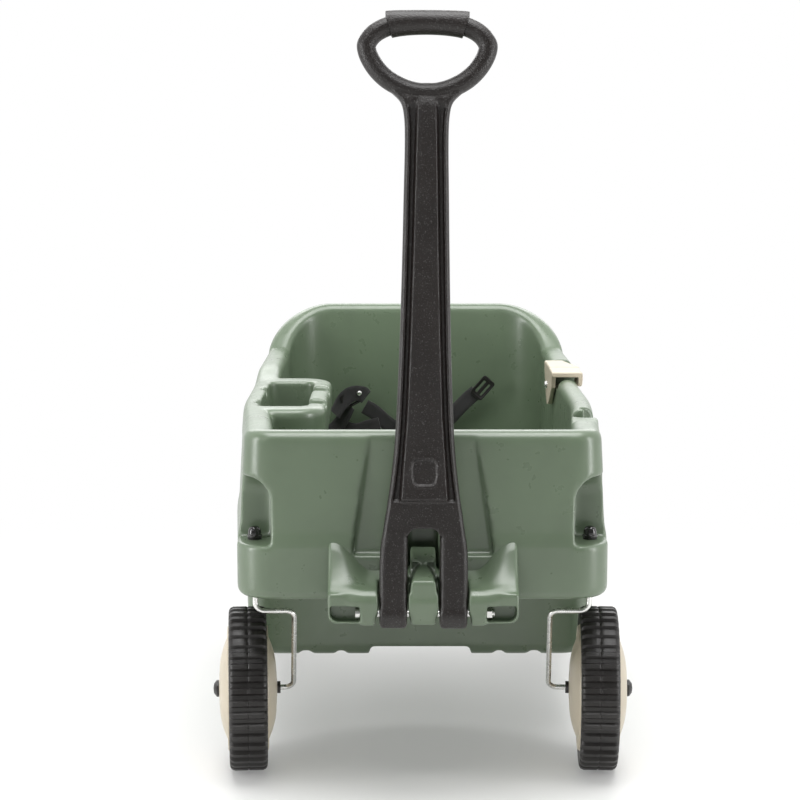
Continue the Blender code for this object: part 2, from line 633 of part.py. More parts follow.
def handle(black, place):
    """Shaft, two tines and a D-shaped grip, moulded in one piece."""
    def section(half_wide, half_deep, z, x=0.0, corner=0.010):
        ring = round_outline((x - half_wide, -half_deep), (x + half_wide, half_deep),
                             min(corner, half_deep * 0.9, half_wide * 0.9), 2)
        return [Vector((a, b, z)) for a, b in ring]

    heights = [CROTCH_HEIGHT, 0.135, 0.170, SHAFT_FOOT, along_shaft(0.25), along_shaft(0.50),
               along_shaft(0.80), NECK_HEIGHT, NECK_HEIGHT + 0.026, NECK_HEIGHT + 0.038,
               NECK_HEIGHT + 0.049]
    depths = [0.0155] * 8 + [0.0145, 0.0130, 0.0105]
    rings = [section(half_width_at(h), deep, h) for h, deep in zip(heights, depths)]
    obj = loft("handle", rings, black)
    for side, sign in (("left", -1), ("right", 1)):
        middle = TINE_INNER + TINE_WIDTH / 2
        tine_rings = []
        for h in (0.001, 0.020, 0.045, 0.070, CROTCH_HEIGHT - 0.002, CROTCH_HEIGHT + 0.010):
            wide = (half_width_at(h) - TINE_INNER) / 2
            at = sign * (TINE_INNER + wide)
            buried = 0.7 if h > CROTCH_HEIGHT else 1.0
            tine_rings.append(section(wide * buried, 0.0165 * buried, h, at, 0.006))
        tine = loft("tine_" + side, tine_rings, black)
        half = TINE_WIDTH / 2 - 0.0004
        low, high = sign * middle - half, sign * middle + half
        end = lathe("tine_end_" + side, [(0, low), (TINE_RADIUS - 0.004, low),
                                         (TINE_RADIUS, low + 0.004), (TINE_RADIUS, high - 0.004),
                                         (TINE_RADIUS - 0.004, high), (0, high)],
                    black, "X", (0, 0, 0), 20)
        fuse(tine, end)
        fuse(obj, tine)
        for piece in (tine, end):
            piece.parent = place
    ring = loft("grip_loop", [grip_section(i + 0.5) for i in range(len(grip_line()))], black,
                closed_path=True)
    fuse(obj, ring)
    bore = rod("tine_bore", BOLT_RADIUS + TINE_BORE_GAP, -0.08, 0.08, None, "X", (0, 0, 0), 16)
    cut(obj, bore)
    for piece in (obj, ring, bore):
        piece.parent = place
    return obj


def grip_line():
    """The centre line of the D-shaped grip, all the way round from its top."""
    right = [(x, HANDLE_LENGTH - below) for x, below in GRIP_LINE]
    foot = [(0.0, HANDLE_LENGTH - GRIP_LINE[-1][1] - 0.0005)]
    return right + foot + [(-x, z) for x, z in reversed(right[1:])]


def grip_point(t):
    """A point of the smooth curve through the centre line, t in its points."""
    line = grip_line()
    i, f = int(math.floor(t)), t - math.floor(t)
    a, b, c, d = (Vector((*line[(i + k) % len(line)], 0)) for k in (-1, 0, 1, 2))
    p = 0.5 * (2 * b + (c - a) * f + (2 * a - 5 * b + 4 * c - d) * f ** 2
               + (3 * b - a - 3 * c + d) * f ** 3)
    return Vector((p.x, 0, p.y))


def grip_section(t, more=0.0, sides=10):
    """The grip's oval section at t, with its surface moved out by more."""
    along = (grip_point(t + 0.05) - grip_point(t - 0.05)).normalized()
    outward = along.cross(Vector((0, 1, 0)))
    thick, deep = GRIP_THICKNESS / 2 + more, GRIP_DEPTH / 2 + more
    angles = [2 * math.pi * (k + 0.5) / sides for k in range(sides)]
    return [grip_point(t) + thick * math.cos(b) * outward + deep * math.sin(b) * Vector((0, 1, 0))
            for b in angles]


def grip_sleeve(black, place):
    """The thicker sleeve moulded round the grip bar."""
    reach = SLEEVE_REACH / GRIP_LINE[2][0] * 2
    stations = [reach * i / 4 for i in range(-4, 5)]
    outer = [grip_section(t, SLEEVE_THICKNESS, 12) for t in stations]
    inner = [grip_section(t, SLEEVE_GAP, 12) for t in reversed(stations)]
    obj = loft("grip_sleeve", outer + inner, black, closed_path=True)
    obj.parent = place
    return obj


def pivot_bolt(zinc):
    head = LUG_OUTER + SEAT_GAP * 2
    obj = lathe("handle_pivot_bolt",
                [(0, -head - 0.005), (0.0068, -head - 0.005), (0.0068, -head),
                 (BOLT_RADIUS, -head), (BOLT_RADIUS, head + 0.009), (0, head + 0.009)],
                zinc, "X", (0, PIVOT_Y, PIVOT_Z), 16)
    hexagon_bore = (BOLT_RADIUS + SEAT_GAP) / math.cos(math.radians(30))
    nut = lathe("handle_pivot_nut",
                [(hexagon_bore, head), (0.0072, head), (0.0072, head + 0.006),
                 (hexagon_bore, head + 0.006)],
                zinc, "X", (0, PIVOT_Y, PIVOT_Z), 6)
    return obj, nut


# ------------------------------------------------------------------ wheels
def wheel(name, x, side, black, tan, dark, place):
    """A tyre on a lens-shaped hub, its inner spacer and its outer axle cap."""
    half = TYRE_WIDTH / 2
    seat = TYRE_SEAT_RADIUS + SEAT_GAP
    tyre = lathe("tyre_" + name, [(seat, -half + 0.004), (seat + 0.008, -half),
                                  (WHEEL_RADIUS - 0.006, -half), (WHEEL_RADIUS, -half + 0.005),
                                  (WHEEL_RADIUS, half - 0.005), (WHEEL_RADIUS - 0.006, half),
                                  (seat + 0.008, half), (seat, half - 0.004)],
                 black, "X", (x, 0, 0), 36)
    bulge = HUB_WIDTH / 2
    bore = ROD_RADIUS + BORE_GAP
    hub = lathe("hub_" + name, [(bore, -bulge), (0.018, -bulge), (0.050, -bulge + 0.005),
                                (0.070, -bulge + 0.012), (TYRE_SEAT_RADIUS, -half + 0.006),
                                (TYRE_SEAT_RADIUS, half - 0.006), (0.070, bulge - 0.012),
                                (0.050, bulge - 0.005), (0.018, bulge), (bore, bulge)],
                tan, "X", (x, 0, 0), 28)
    sign = 1 if side == "right" else -1
    inner = x - sign * (bulge + SEAT_GAP)
    outer = x + sign * (bulge + SEAT_GAP)
    spacer = lathe("axle_spacer_" + name, [(bore, 0), (0.0075, 0), (0.0075, -sign * 0.004),
                                           (bore, -sign * 0.004)],
                   dark, "X", (inner, 0, 0), 16)
    cap = lathe("axle_cap_" + name,
                [(0, sign * 0.0070), (0.006, sign * 0.0062), (0.0105, sign * 0.0028),
                 (0.0105, 0), (bore, 0), (bore, sign * 0.0040), (0, sign * 0.0040)],
                dark, "X", (outer, 0, 0), 16)
    for piece in (tyre, hub, spacer, cap):
        piece.parent = place
    return outer + sign * 0.0036


def caster(side, mats):
    """A bent rod that swivels in the body, with its wheel."""
    sign = 1 if side == "right" else -1
    toe = TOE_RIGHT if side == "right" else -TOE_LEFT
    place = bpy.data.objects.new("caster_axis_" + side, None)
    bpy.context.scene.collection.objects.link(place)
    place.location = (sign * STEM_X, STEM_Y - CENTRE_Y, 0)
    place.rotation_euler = (0, 0, -toe)
    hub_at = bpy.data.objects.new("wheel_axis_front_" + side, None)
    bpy.context.scene.collection.objects.link(hub_at)
    hub_at.parent = place
    hub_at.location = (0, TRAIL, WHEEL_RADIUS)
    reach = wheel("front_" + side, sign * WHEEL_OUTBOARD[side], side, mats["tyre"], mats["tan"],
                  mats["dark"], hub_at)
    inward = -sign * ROD_INWARD
    corners = [(0, 0, LEDGE_Z + 0.012), (0, 0, ROD_RUN_Z), (inward, 0.0, ROD_RUN_Z),
               (inward, TRAIL, WHEEL_RADIUS), (reach, TRAIL, WHEEL_RADIUS)]
    bar = bent_rod("caster_rod_" + side, corners, ROD_RADIUS, 0.011, mats["zinc"])
    cap = lathe("caster_cap_" + side,
                [(0, LEDGE_Z + 0.0160), (0.0055, LEDGE_Z + 0.0150), (0.0080, LEDGE_Z + 0.0110),
                 (CAP_RADIUS, LEDGE_Z + 0.0040), (CAP_RADIUS, LEDGE_Z + 0.0026),
                 (ROD_RADIUS + BORE_GAP, LEDGE_Z + 0.0026),
                 (ROD_RADIUS + BORE_GAP, LEDGE_Z + 0.0125), (0, LEDGE_Z + 0.0125)],
                mats["gloss"], "Z", (0, 0, 0), 20)
    washer = lathe("caster_washer_" + side,
                   [(ROD_RADIUS + BORE_GAP, LIP_Z - 0.0028), (0.0125, LIP_Z - 0.0028),
                    (0.0125, LIP_Z - 0.0012), (ROD_RADIUS + BORE_GAP, LIP_Z - 0.0012)],
                   mats["zinc"], "Z", (0, 0, 0), 20)
    for piece in (bar, cap, washer):
        piece.parent = place
    sleeve_bore = ROD_RADIUS + BORE_GAP
    sleeve = lathe("caster_sleeve_" + side,
                   [(sleeve_bore, LIP_Z - SEAT_GAP), (ROD_RADIUS + 0.0017, LIP_Z - SEAT_GAP),
                    (ROD_RADIUS + 0.0017, LEDGE_Z + SEAT_GAP), (0.0085, LEDGE_Z + SEAT_GAP),
                    (0.0085, LEDGE_Z + 0.0020), (sleeve_bore, LEDGE_Z + 0.0020)],
                   mats["dark"], "Z", (sign * STEM_X, STEM_Y - CENTRE_Y, 0), 16)
    return sleeve


def rear_wheels(mats):
    place = bpy.data.objects.new("rear_axle_line", None)
    bpy.context.scene.collection.objects.link(place)
    place.location = (0, REAR_AXLE_Y - CENTRE_Y, WHEEL_RADIUS)
    for side, sign in (("left", -1), ("right", 1)):
        reach = wheel("rear_" + side, sign * REAR_WHEEL_X, side, mats["tyre"], mats["tan"],
                      mats["dark"], place)
    axle = rod("rear_axle", ROD_RADIUS, -abs(reach), abs(reach), mats["zinc"], "X", (0, 0, 0), 12)
    axle.parent = place


# ------------------------------------------------------------------ seat belts
def strap(name, route, mat, width=0.025, thickness=0.0022):
    """A flat strap through stations, each a point and the direction of its width."""
    rings = []
    points = [Vector(p) for p, _ in route]
    for i, (p, across) in enumerate(route):
        p = Vector(p)
        ahead = points[min(i + 1, len(points) - 1)] - points[max(i - 1, 0)]
        wide = Vector(across).normalized()
        wide = (wide - ahead.normalized() * wide.dot(ahead.normalized())).normalized()
        flat = ahead.normalized().cross(wide)
        rings.append([p + wide * a * width / 2 + flat * b * thickness / 2
                      for a, b in ((-1, -1), (1, -1), (1, 1), (-1, 1))])
    return loft(name, rings, mat)


def seat_belt(seat, facing, web, dark, zinc):
    """One seat's lap belt: two straps, a middle strap, buckle, tongue and anchors.

    facing is +1 where the sitter faces the front (rear seat), -1 on the front seat."""
    back = BODY_LENGTH - SEAT_WALL_INSET if facing > 0 else SEAT_WALL_INSET

    def at(x, off, z):
        return (x * facing, back - facing * off, z)
    up = (0, 0, 1)
    left = [(at(-0.132, 0.010, SEAT_Z + 0.046), up), (at(-0.124, 0.012, SEAT_Z + 0.056), up),
            (at(-0.113, 0.016, SEAT_Z + 0.072), up)]
    right = [(at(0.040, 0.010, SEAT_Z + 0.052), up), (at(0.060, 0.013, SEAT_Z + 0.072), up),
             (at(0.084, 0.018, SEAT_Z + 0.096), up)]
    middle = [(at(-0.080, 0.011, SEAT_Z + 0.078), up), (at(-0.055, 0.010, SEAT_Z + 0.062), up),
              (at(-0.030, 0.010, SEAT_Z + 0.046), up)]
    for tag, route in (("left", left), ("right", right), ("middle", middle)):
        strap(f"{seat}_belt_{tag}", route, web)
    for tag, x, z, mat in (("buckle", -0.104, SEAT_Z + 0.101, dark),
                           ("tongue", 0.106, SEAT_Z + 0.112, dark)):
        low = at(x - 0.014 * facing, 0.027, z - 0.013)
        high = at(x + 0.014 * facing, 0.016, z + 0.013)
        corners = [(min(a, b), max(a, b)) for a, b in zip(low, high)]
        box(f"{seat}_belt_{tag}", [c[0] for c in corners], [c[1] for c in corners], mat,
            0.003, 2)
    for tag, x in (("left", -0.148), ("right", 0.024)):
        spot = at(x, 0.006, SEAT_Z + 0.046)
        lathe(f"{seat}_belt_anchor_{tag}", [(0, 0.0035), (0.003, 0.0030), (0.005, 0.0),
                                           (0, 0.0)] if facing < 0 else
              [(0, -0.0035), (0.003, -0.0030), (0.005, 0.0), (0, 0.0)],
              zinc, "Y", spot, 12)


# ------------------------------------------------------------------ assembly
def centre_pieces():
    """Moves what was laid out from the front face to the wagon's own origin."""
    for obj in bpy.data.objects:
        if obj.parent is None and obj.type == "MESH":
            obj.location.y -= CENTRE_Y


def build():
    for old in list(bpy.data.objects):
        bpy.data.objects.remove(old)
    green = material("sage_plastic", (0.16, 0.20, 0.13), 0.42)
    black = material("handle_plastic", (0.028, 0.022, 0.020), 0.45)
    mats = {
        "tyre": material("tyre_plastic", (0.025, 0.022, 0.021), 0.50),
        "tan": material("tan_plastic", (0.62, 0.55, 0.42), 0.40),
        "dark": material("dark_plastic", (0.020, 0.018, 0.018), 0.35),
        "gloss": material("gloss_black_cap", (0.012, 0.010, 0.010), 0.12),
        "zinc": material("zinc_steel", (0.72, 0.72, 0.70), 0.25, 1.0),
        "web": material("black_webbing", (0.012, 0.011, 0.012), 0.85),
    }
    body(green)
    door(green)
    latch(mats["tan"])
    rod("door_hinge_pin", HINGE_PIN_RADIUS, DOOR_STEP_Z - 0.012, BARREL_TOP_Z + 0.007,
        mats["zinc"], "Z", (HINGE_X, DOOR_FRONT, 0), 12)
    screw = latch_inner_x() - RUN_GAP - LATCH_THICKNESS - SEAT_GAP
    lathe("latch_bolt", [(0, screw - 0.004), (0.0045, screw - 0.0032), (0.0060, screw),
                         (LATCH_BOLT_RADIUS, screw), (LATCH_BOLT_RADIUS, screw + 0.026),
                         (0, screw + 0.026)],
          mats["zinc"], "X", (0, LATCH_BOLT_Y, LATCH_BOLT_Z), 16)
    pivot_bolt(mats["zinc"])
    seat_belt("rear", 1, mats["web"], mats["dark"], mats["zinc"])
    seat_belt("front", -1, mats["web"], mats["dark"], mats["zinc"])
    centre_pieces()
    handle_axis = bpy.data.objects.new("handle_axis", None)
    bpy.context.scene.collection.objects.link(handle_axis)
    handle_axis.location = (0, PIVOT_Y - CENTRE_Y, PIVOT_Z)
    handle_axis.rotation_euler = (-HANDLE_LEAN, HANDLE_TILT, 0)
    handle(black, handle_axis)
    grip_sleeve(black, handle_axis)
    for side in ("left", "right"):
        caster(side, mats)
    rear_wheels(mats)


build()
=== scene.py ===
"""The looks of the wagon with pull handle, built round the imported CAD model.

Pieces are laid out with y = 0 on the wagon's front face, as the CAD is, and then
moved by -CENTRE_Y. Metres, +Z up, the handle towards -Y, the door towards +X."""
import json
import math

import bmesh
import bpy
from mathutils import Euler, Matrix, Vector


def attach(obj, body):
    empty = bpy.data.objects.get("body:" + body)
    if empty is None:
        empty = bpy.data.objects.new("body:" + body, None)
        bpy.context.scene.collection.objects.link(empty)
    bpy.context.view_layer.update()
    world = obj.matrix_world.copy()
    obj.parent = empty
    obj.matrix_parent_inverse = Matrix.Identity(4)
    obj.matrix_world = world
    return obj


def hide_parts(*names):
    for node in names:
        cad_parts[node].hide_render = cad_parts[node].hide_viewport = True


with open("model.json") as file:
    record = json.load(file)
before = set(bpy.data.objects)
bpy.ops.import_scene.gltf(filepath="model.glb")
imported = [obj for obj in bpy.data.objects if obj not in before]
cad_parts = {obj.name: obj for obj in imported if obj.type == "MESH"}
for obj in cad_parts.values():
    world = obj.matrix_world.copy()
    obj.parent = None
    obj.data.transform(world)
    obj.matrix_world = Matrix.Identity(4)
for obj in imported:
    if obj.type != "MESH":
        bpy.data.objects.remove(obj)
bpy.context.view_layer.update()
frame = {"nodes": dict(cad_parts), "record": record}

# ---- sizes shared with the CAD ----
CENTRE_Y = 0.44625
BODY_LENGTH, FRONT_HALF_WIDTH, REAR_HALF_WIDTH, FLARE_LENGTH = 0.950, 0.222, 0.2435, 0.36
LIP_Z, LEDGE_Z, RIM_Z = 0.239, 0.304, 0.440
REAR_SIDE_RISE, REAR_CORNER_RISE = 0.013, 0.065
FRONT_CORNER_RADIUS, REAR_CORNER_RADIUS = 0.045, 0.110
ABOVE_RIM_Z = RIM_Z + 0.05
RIM_WIDTH, RIM_EDGE, RIM_SET_BACK = 0.035, 0.013, 0.009
SEAT_Z, SEAT_WALL_INSET = 0.270, 0.050
WELL_FRONT, WELL_REAR, WELL_SIDE_INSET = 0.240, 0.620, 0.0095
WELL_BOTTOM_Z, WELL_FLOOR_Z, WELL_RADIUS = 0.108, 0.124, 0.030
PIVOT_Y, PIVOT_Z = -0.040, 0.2335
HANDLE_LEAN, HANDLE_TILT, HANDLE_LENGTH = math.radians(6.0), math.radians(0.4), 0.700
TINE_INNER, TINE_WIDTH, TINE_RADIUS, CROTCH_HEIGHT = 0.0185, 0.0330, 0.0175, 0.102
LUG_RADIUS, FOOT_INNER, HITCH_HALF_WIDTH, HITCH_TOP_Z = 0.0150, 0.0735, 0.1115, 0.3115
BOLT_RADIUS, ROD_RADIUS = 0.0040, 0.0032
STEM_X, STEM_Y, TRAIL, ROD_RUN_Z, ROD_INWARD, ROD_BEND = 0.2020, 0.050, 0.066, 0.2150, 0.047, 0.011
WHEEL_OUTBOARD = {"left": 0.0097, "right": 0.0147}
TOE = {"left": math.radians(-4.3), "right": math.radians(3.2)}
WHEEL_RADIUS, TYRE_WIDTH, TYRE_SEAT_RADIUS, HUB_WIDTH = 0.1015, 0.0470, 0.0800, 0.0720
REAR_AXLE_Y, REAR_WHEEL_X, AXLE_BOSS_X, AXLE_BOSS_HALF = 0.785, 0.2150, 0.150, 0.018
DOOR_FRONT, DOOR_REAR, DOOR_BOTTOM_Z, DOOR_STEP_Z, DOOR_STEP_Y = 0.205, 0.600, 0.160, 0.285, 0.265
DOOR_GAP, DOOR_INNER_X, DOOR_SET_BACK, DOOR_SWING = 0.0030, 0.168, 0.006, math.radians(110)
HINGE_X, HINGE_BARREL, BARREL_LOW_Z, BARREL_TOP_Z = 0.2112, 0.0155, DOOR_STEP_Z + DOOR_GAP, 0.418
HINGE, KNUCKLE_LOW, KNUCKLE_HIGH = (HINGE_X, DOOR_FRONT, 0), 0.325, 0.375
LATCH_FRONT, LATCH_REAR, LATCH_BOLT_Y, LATCH_BOLT_Z = 0.525, 0.678, 0.622, 0.4215
LATCH_PLATE_Z, LATCH_THICKNESS, LATCH_TRAVEL = 0.4435, 0.006, 0.018
TRAY_FRONT, TRAY_REAR, TRAY_INNER_X, TRAY_MIDDLE_X, TRAY_DEPTH = 0.205, 0.560, 0.1225, -0.18, 0.110
CUP_FRONT, CUP_REAR, CUP_INNER_X, CUP_OUTER_X = 0.247, 0.508, 0.1480, 0.2105
SLOT_LENGTH, TONGUE_LENGTH, TONGUE_Y = 0.046, 0.090, 0.364
RUN_GAP, SEAT_GAP = 0.0015, 0.0003
GRIP_LINE = ((0.0, 0.0142), (0.025, 0.0154), (0.045, 0.0190), (0.060, 0.0265), (0.0685, 0.0360),
             (0.0706, 0.0430), (0.067, 0.0550), (0.058, 0.0690), (0.045, 0.0810),
             (0.028, 0.0900), (0.012, 0.0945))
GRIP_THICKNESS, GRIP_DEPTH, SLEEVE_REACH = 0.0222, 0.0250, 0.045


# ---------------------------------------------------------------- camera, light
LENS_MM = 90
CAMERA_PLACE = (-0.0324, -2.3194 - CENTRE_Y, 0.7791)
CAMERA_PITCH, CAMERA_TURN = math.radians(90 - 7.37), -0.0023
# name, place, target, size, power in watts
LIGHTS = (("key", (0.1, -0.5, 2.9), (0, 0.15, 0.3), (2.2, 2.2), 84),
          ("rim", (0.0, 2.6, 1.7), (0, 0.2, 0.45), (3.0, 1.0), 24),
          ("fill", (-1.6, -2.4, 1.8), (0, -0.2, 0.30), (1.2, 1.2), 5),
          ("side_left", (-2.3, -1.1, 0.8), (0, -0.3, 0.4), (0.5, 1.8), 32),
          ("side_right", (2.3, -1.1, 0.8), (0, -0.3, 0.4), (0.5, 1.8), 26))
FLOOR_SIZE = 30
WHITE, GREY, FLOOR_COLOUR = (1, 1, 1, 1), (0.26, 0.265, 0.26, 1), (0.74, 0.74, 0.725, 1)


def camera():
    data = bpy.data.cameras.new("camera")
    data.lens = LENS_MM
    obj = bpy.data.objects.new("camera", data)
    obj.location = CAMERA_PLACE
    obj.rotation_euler = (CAMERA_PITCH, 0, CAMERA_TURN)
    bpy.context.scene.collection.objects.link(obj)
    bpy.context.scene.camera = obj


def area_light(name, place, target, size, power):
    data = bpy.data.lights.new(name, "AREA")
    data.shape = "RECTANGLE"
    data.size, data.size_y = size
    data.energy = power
    obj = bpy.data.objects.new(name, data)
    obj.location = place
    obj.rotation_euler = (Vector(target) - Vector(place)).to_track_quat("-Z", "Y").to_euler()
    bpy.context.scene.collection.objects.link(obj)


class Nodes:
    """Short calls for building a node tree."""

    def __init__(self, tree):
        self.tree = tree

    def link(self, source, target):
        self.tree.links.new(source, target)

    def feed(self, socket, value):
        """Links a socket, or sets its own value."""
        if isinstance(value, bpy.types.NodeSocket):
            self.link(value, socket)
        else:
            socket.default_value = value

    def add(self, kind, inputs=None, **settings):
        node = self.tree.nodes.new(kind)
        for key, value in settings.items():
            setattr(node, key, value)
        for key, value in (inputs or {}).items():
            self.feed(node.inputs[key], value)
        return node

    def ramp(self, value, low, high, start=0.0, end=1.0):
        """start to end as value goes from low to high, eased and clamped."""
        node = self.add("ShaderNodeMapRange", {"Value": value, "From Min": low, "From Max": high,
                                               "To Min": start, "To Max": end},
                        interpolation_type="SMOOTHSTEP")
        return node.outputs["Result"]

    def spread(self, noise, start, end):
        """start to end over a noise's middle range."""
        node = self.add("ShaderNodeMapRange", {"Value": noise, "From Min": 0.3, "From Max": 0.7,
                                               "To Min": start, "To Max": end})
        return node.outputs["Result"]

    def noise(self, where, scale, detail=2.0, rough=0.5):
        node = self.add("ShaderNodeTexNoise", {"Vector": where, "Scale": scale, "Detail": detail,
                                               "Roughness": rough})
        return node.outputs["Fac"]

    def maths(self, operation, a, b):
        return self.add("ShaderNodeMath", {0: a, 1: b}, operation=operation).outputs[0]

    def mix(self, factor, a, b):
        node = self.add("ShaderNodeMix", data_type="RGBA")
        # a mix node's colour sockets are numbers 6 and 7, and its colour output is number 2
        for number, value in ((0, factor), (6, a), (7, b)):
            self.feed(node.inputs[number], value)
        return node.outputs[2]

    def bump(self, shader, height, strength, distance):
        node = self.add("ShaderNodeBump", {"Height": height, "Strength": strength,
                                           "Distance": distance})
        self.link(node.outputs["Normal"], shader.inputs["Normal"])


def new_material(name):
    """A material, its node builder, its shader and its object coordinates."""
    mat = bpy.data.materials.new(name)
    mat.use_nodes = True
    n = Nodes(mat.node_tree)
    where = n.add("ShaderNodeTexCoord").outputs["Object"]
    return mat, n, mat.node_tree.nodes["Principled BSDF"], where


def rgba(colour, times=1.0, plus=0.0):
    return tuple(c * times + plus for c in colour) + (1,)


def surround():
    """A white world, greyer on the camera's side."""
    world = bpy.data.worlds.new("studio")
    world.use_nodes = True
    n = Nodes(world.node_tree)
    back = world.node_tree.nodes["Background"]
    where = n.add("ShaderNodeTexCoord").outputs["Generated"]
    split = n.add("ShaderNodeSeparateXYZ", {"Vector": where})
    n.link(n.mix(n.ramp(split.outputs["Y"], -0.65, 0.35), GREY, WHITE), back.inputs["Color"])
    back.inputs["Strength"].default_value = 1.0
    bpy.context.scene.world = world


def floor():
    """A pale floor that turns to plain white behind the wagon."""
    bm = bmesh.new()
    bmesh.ops.create_grid(bm, x_segments=1, y_segments=1, size=FLOOR_SIZE)
    mesh = bpy.data.meshes.new("floor")
    bm.to_mesh(mesh)
    bm.free()
    obj = bpy.data.objects.new("floor", mesh)
    bpy.context.scene.collection.objects.link(obj)
    mat, n, shader, where = new_material("floor")
    split = n.add("ShaderNodeSeparateXYZ", {"Vector": where})
    far = n.ramp(split.outputs["Y"], -0.2, 1.3, 0.20, 1.0)
    shader.inputs["Base Color"].default_value = FLOOR_COLOUR
    shader.inputs["Roughness"].default_value = 0.55
    glow = n.add("ShaderNodeEmission", {"Color": WHITE, "Strength": 1.0})
    blend = n.add("ShaderNodeMixShader", {0: far, 1: shader.outputs[0], 2: glow.outputs[0]})
    n.link(blend.outputs[0], mat.node_tree.nodes["Material Output"].inputs["Surface"])
    mesh.materials.append(mat)


def studio():
    bpy.context.scene.view_settings.view_transform = "Standard"
    surround()
    for row in LIGHTS:
        area_light(*row)
    floor()


# ---------------------------------------------------------------- materials
def plastic(name, colour, rough, grain=900, depth=0.00012, strength=0.35, mottle=0.06, highlight_strength=0.25,
            coat=0.0, specular=0.5, sparkle=0.0):
    """Moulded plastic: mottled colour, a fine grain, uneven gloss, painted edge highlights and
    glints.
    """
    mat, n, shader, where = new_material(name)
    broad = n.ramp(n.noise(where, 9, 4, 0.6), 0.35, 0.65)
    base = n.mix(broad, rgba(colour, 1 - mottle), rgba(colour, 1 + mottle))
    # painted highlight: convex edges are made paler, in noisy patches
    edge = n.ramp(n.add("ShaderNodeNewGeometry").outputs["Pointiness"], 0.53, 0.62)
    highlight_patches = n.ramp(n.noise(where, 160, 6, 0.7), 0.35, 0.7)
    painted_edge_highlight = n.maths("MULTIPLY", n.maths("MULTIPLY", edge, highlight_patches), highlight_strength)
    base = n.mix(painted_edge_highlight, base, rgba(colour, 0.6, 0.28))
    fine = n.noise(where, grain, 2, 0.55)
    # painted glints: specks where the fine grain peaks are made paler
    if sparkle:
        base = n.mix(n.ramp(fine, 0.58, 0.72), base, rgba(colour, plus=sparkle))
    n.link(base, shader.inputs["Base Color"])
    gloss = n.spread(n.noise(where, 45, 3, 0.6), rough - 0.05, rough + 0.06)
    n.link(gloss, shader.inputs["Roughness"])
    n.bump(shader, fine, strength, depth)
    shader.inputs["Specular IOR Level"].default_value = specular
    shader.inputs["Coat Weight"].default_value = coat
    shader.inputs["Coat Roughness"].default_value = 0.08
    return mat


def metal(name, colour, rough):
    """Bright zinc plate: clouded colour and gloss over a very fine grain."""
    mat, n, shader, where = new_material(name)
    cloudy = n.noise(where, 130, 4, 0.6)
    base = n.mix(n.ramp(cloudy, 0.35, 0.65), rgba(colour, 0.86), rgba(colour))
    n.link(base, shader.inputs["Base Color"])
    n.link(n.spread(cloudy, rough - 0.06, rough + 0.08), shader.inputs["Roughness"])
    n.bump(shader, n.noise(where, 700, 2), 0.15, 0.0001)
    shader.inputs["Metallic"].default_value = 1.0
    return mat


def woven(name, colour):
    """Black webbing: diagonal ribs over a finer weave."""
    mat, n, shader, where = new_material(name)
    ribs = n.add("ShaderNodeTexWave", {"Vector": where, "Scale": 260, "Distortion": 0.4},
                 bands_direction="DIAGONAL")
    cross = n.add("ShaderNodeTexWave", {"Vector": where, "Scale": 330}, bands_direction="X")
    weave = n.maths("ADD", ribs.outputs["Fac"], cross.outputs["Fac"])
    base = n.mix(n.ramp(weave, 0.6, 1.8), rgba(colour), rgba(colour, 2.2, 0.006))
    n.link(base, shader.inputs["Base Color"])
    n.bump(shader, weave, 0.6, 0.0003)
    shader.inputs["Roughness"].default_value = 0.78
    shader.inputs["Sheen Weight"].default_value = 0.25
    return mat


MATS = {
    "sage_plastic": plastic("sage_plastic", (0.116, 0.158, 0.101), 0.31, grain=700,
                            depth=0.00010, strength=0.22, mottle=0.06, highlight_strength=0.22,
                            specular=0.75),
    "handle_plastic": plastic("handle_plastic", (0.0090, 0.0062, 0.0054), 0.36, grain=620,
                              depth=0.00060, strength=1.0, mottle=0.12, highlight_strength=0.12,
                              sparkle=0.055),
    "tyre_plastic": plastic("tyre_plastic", (0.0105, 0.0088, 0.0080), 0.42, grain=600,
                            depth=0.00015, strength=0.3, mottle=0.12, highlight_strength=0.15),
    "tan_plastic": plastic("tan_plastic", (0.50, 0.44, 0.34), 0.38, grain=800,
                           depth=0.0001, strength=0.25, mottle=0.04, highlight_strength=0.10),
    "dark_plastic": plastic("dark_plastic", (0.014, 0.012, 0.012), 0.34, mottle=0.1, highlight_strength=0.1),
    "gloss_cap": plastic("gloss_cap", (0.008, 0.007, 0.007), 0.12, depth=0.00003, strength=0.1,
                         mottle=0.1, highlight_strength=0.05, coat=0.6),
    "zinc_steel": metal("zinc_steel", (0.80, 0.80, 0.78), 0.24),
    "webbing": woven("webbing", (0.008, 0.0072, 0.0078)),
}


# ---------------------------------------------------------------- mesh helpers
AXIS_ORDER = {"X": (2, 0, 1), "Y": (0, 2, 1), "Z": (0, 1, 2)}


def to_object(name, points, faces):
    """A closed mesh whose faces all point outwards."""
    mesh = bpy.data.meshes.new(name)
    mesh.from_pydata([tuple(p) for p in points], [], faces)
    bm = bmesh.new()
    bm.from_mesh(mesh)
    bmesh.ops.recalc_face_normals(bm, faces=bm.faces)
    bm.to_mesh(mesh)
    bm.free()
    obj = bpy.data.objects.new(name, mesh)
    bpy.context.scene.collection.objects.link(obj)
    return obj


def loft(name, rings, closed_path=False):
    """A skin through rings of equally many points; its ends are capped, or joined."""
    count, total = len(rings[0]), len(rings)
    faces = []
    for r in range(total if closed_path else total - 1):
        a, b = r * count, ((r + 1) % total) * count
        faces += [(a + i, a + (i + 1) % count, b + (i + 1) % count, b + i) for i in range(count)]
    if not closed_path:
        faces.append(tuple(reversed(range(count))))
        faces.append(tuple((total - 1) * count + i for i in range(count)))
    return to_object(name, [p for ring in rings for p in ring], faces)


def prism(name, outline, low, high, axis="X"):
    order = AXIS_ORDER[axis]
    rings = [[[(a, b, at)[k] for k in order] for a, b in outline] for at in (low, high)]
    return loft(name, rings)


def box(name, low, high):
    outline = [(low[0], low[1]), (high[0], low[1]), (high[0], high[1]), (low[0], high[1])]
    return prism(name, outline, low[2], high[2], "Z")


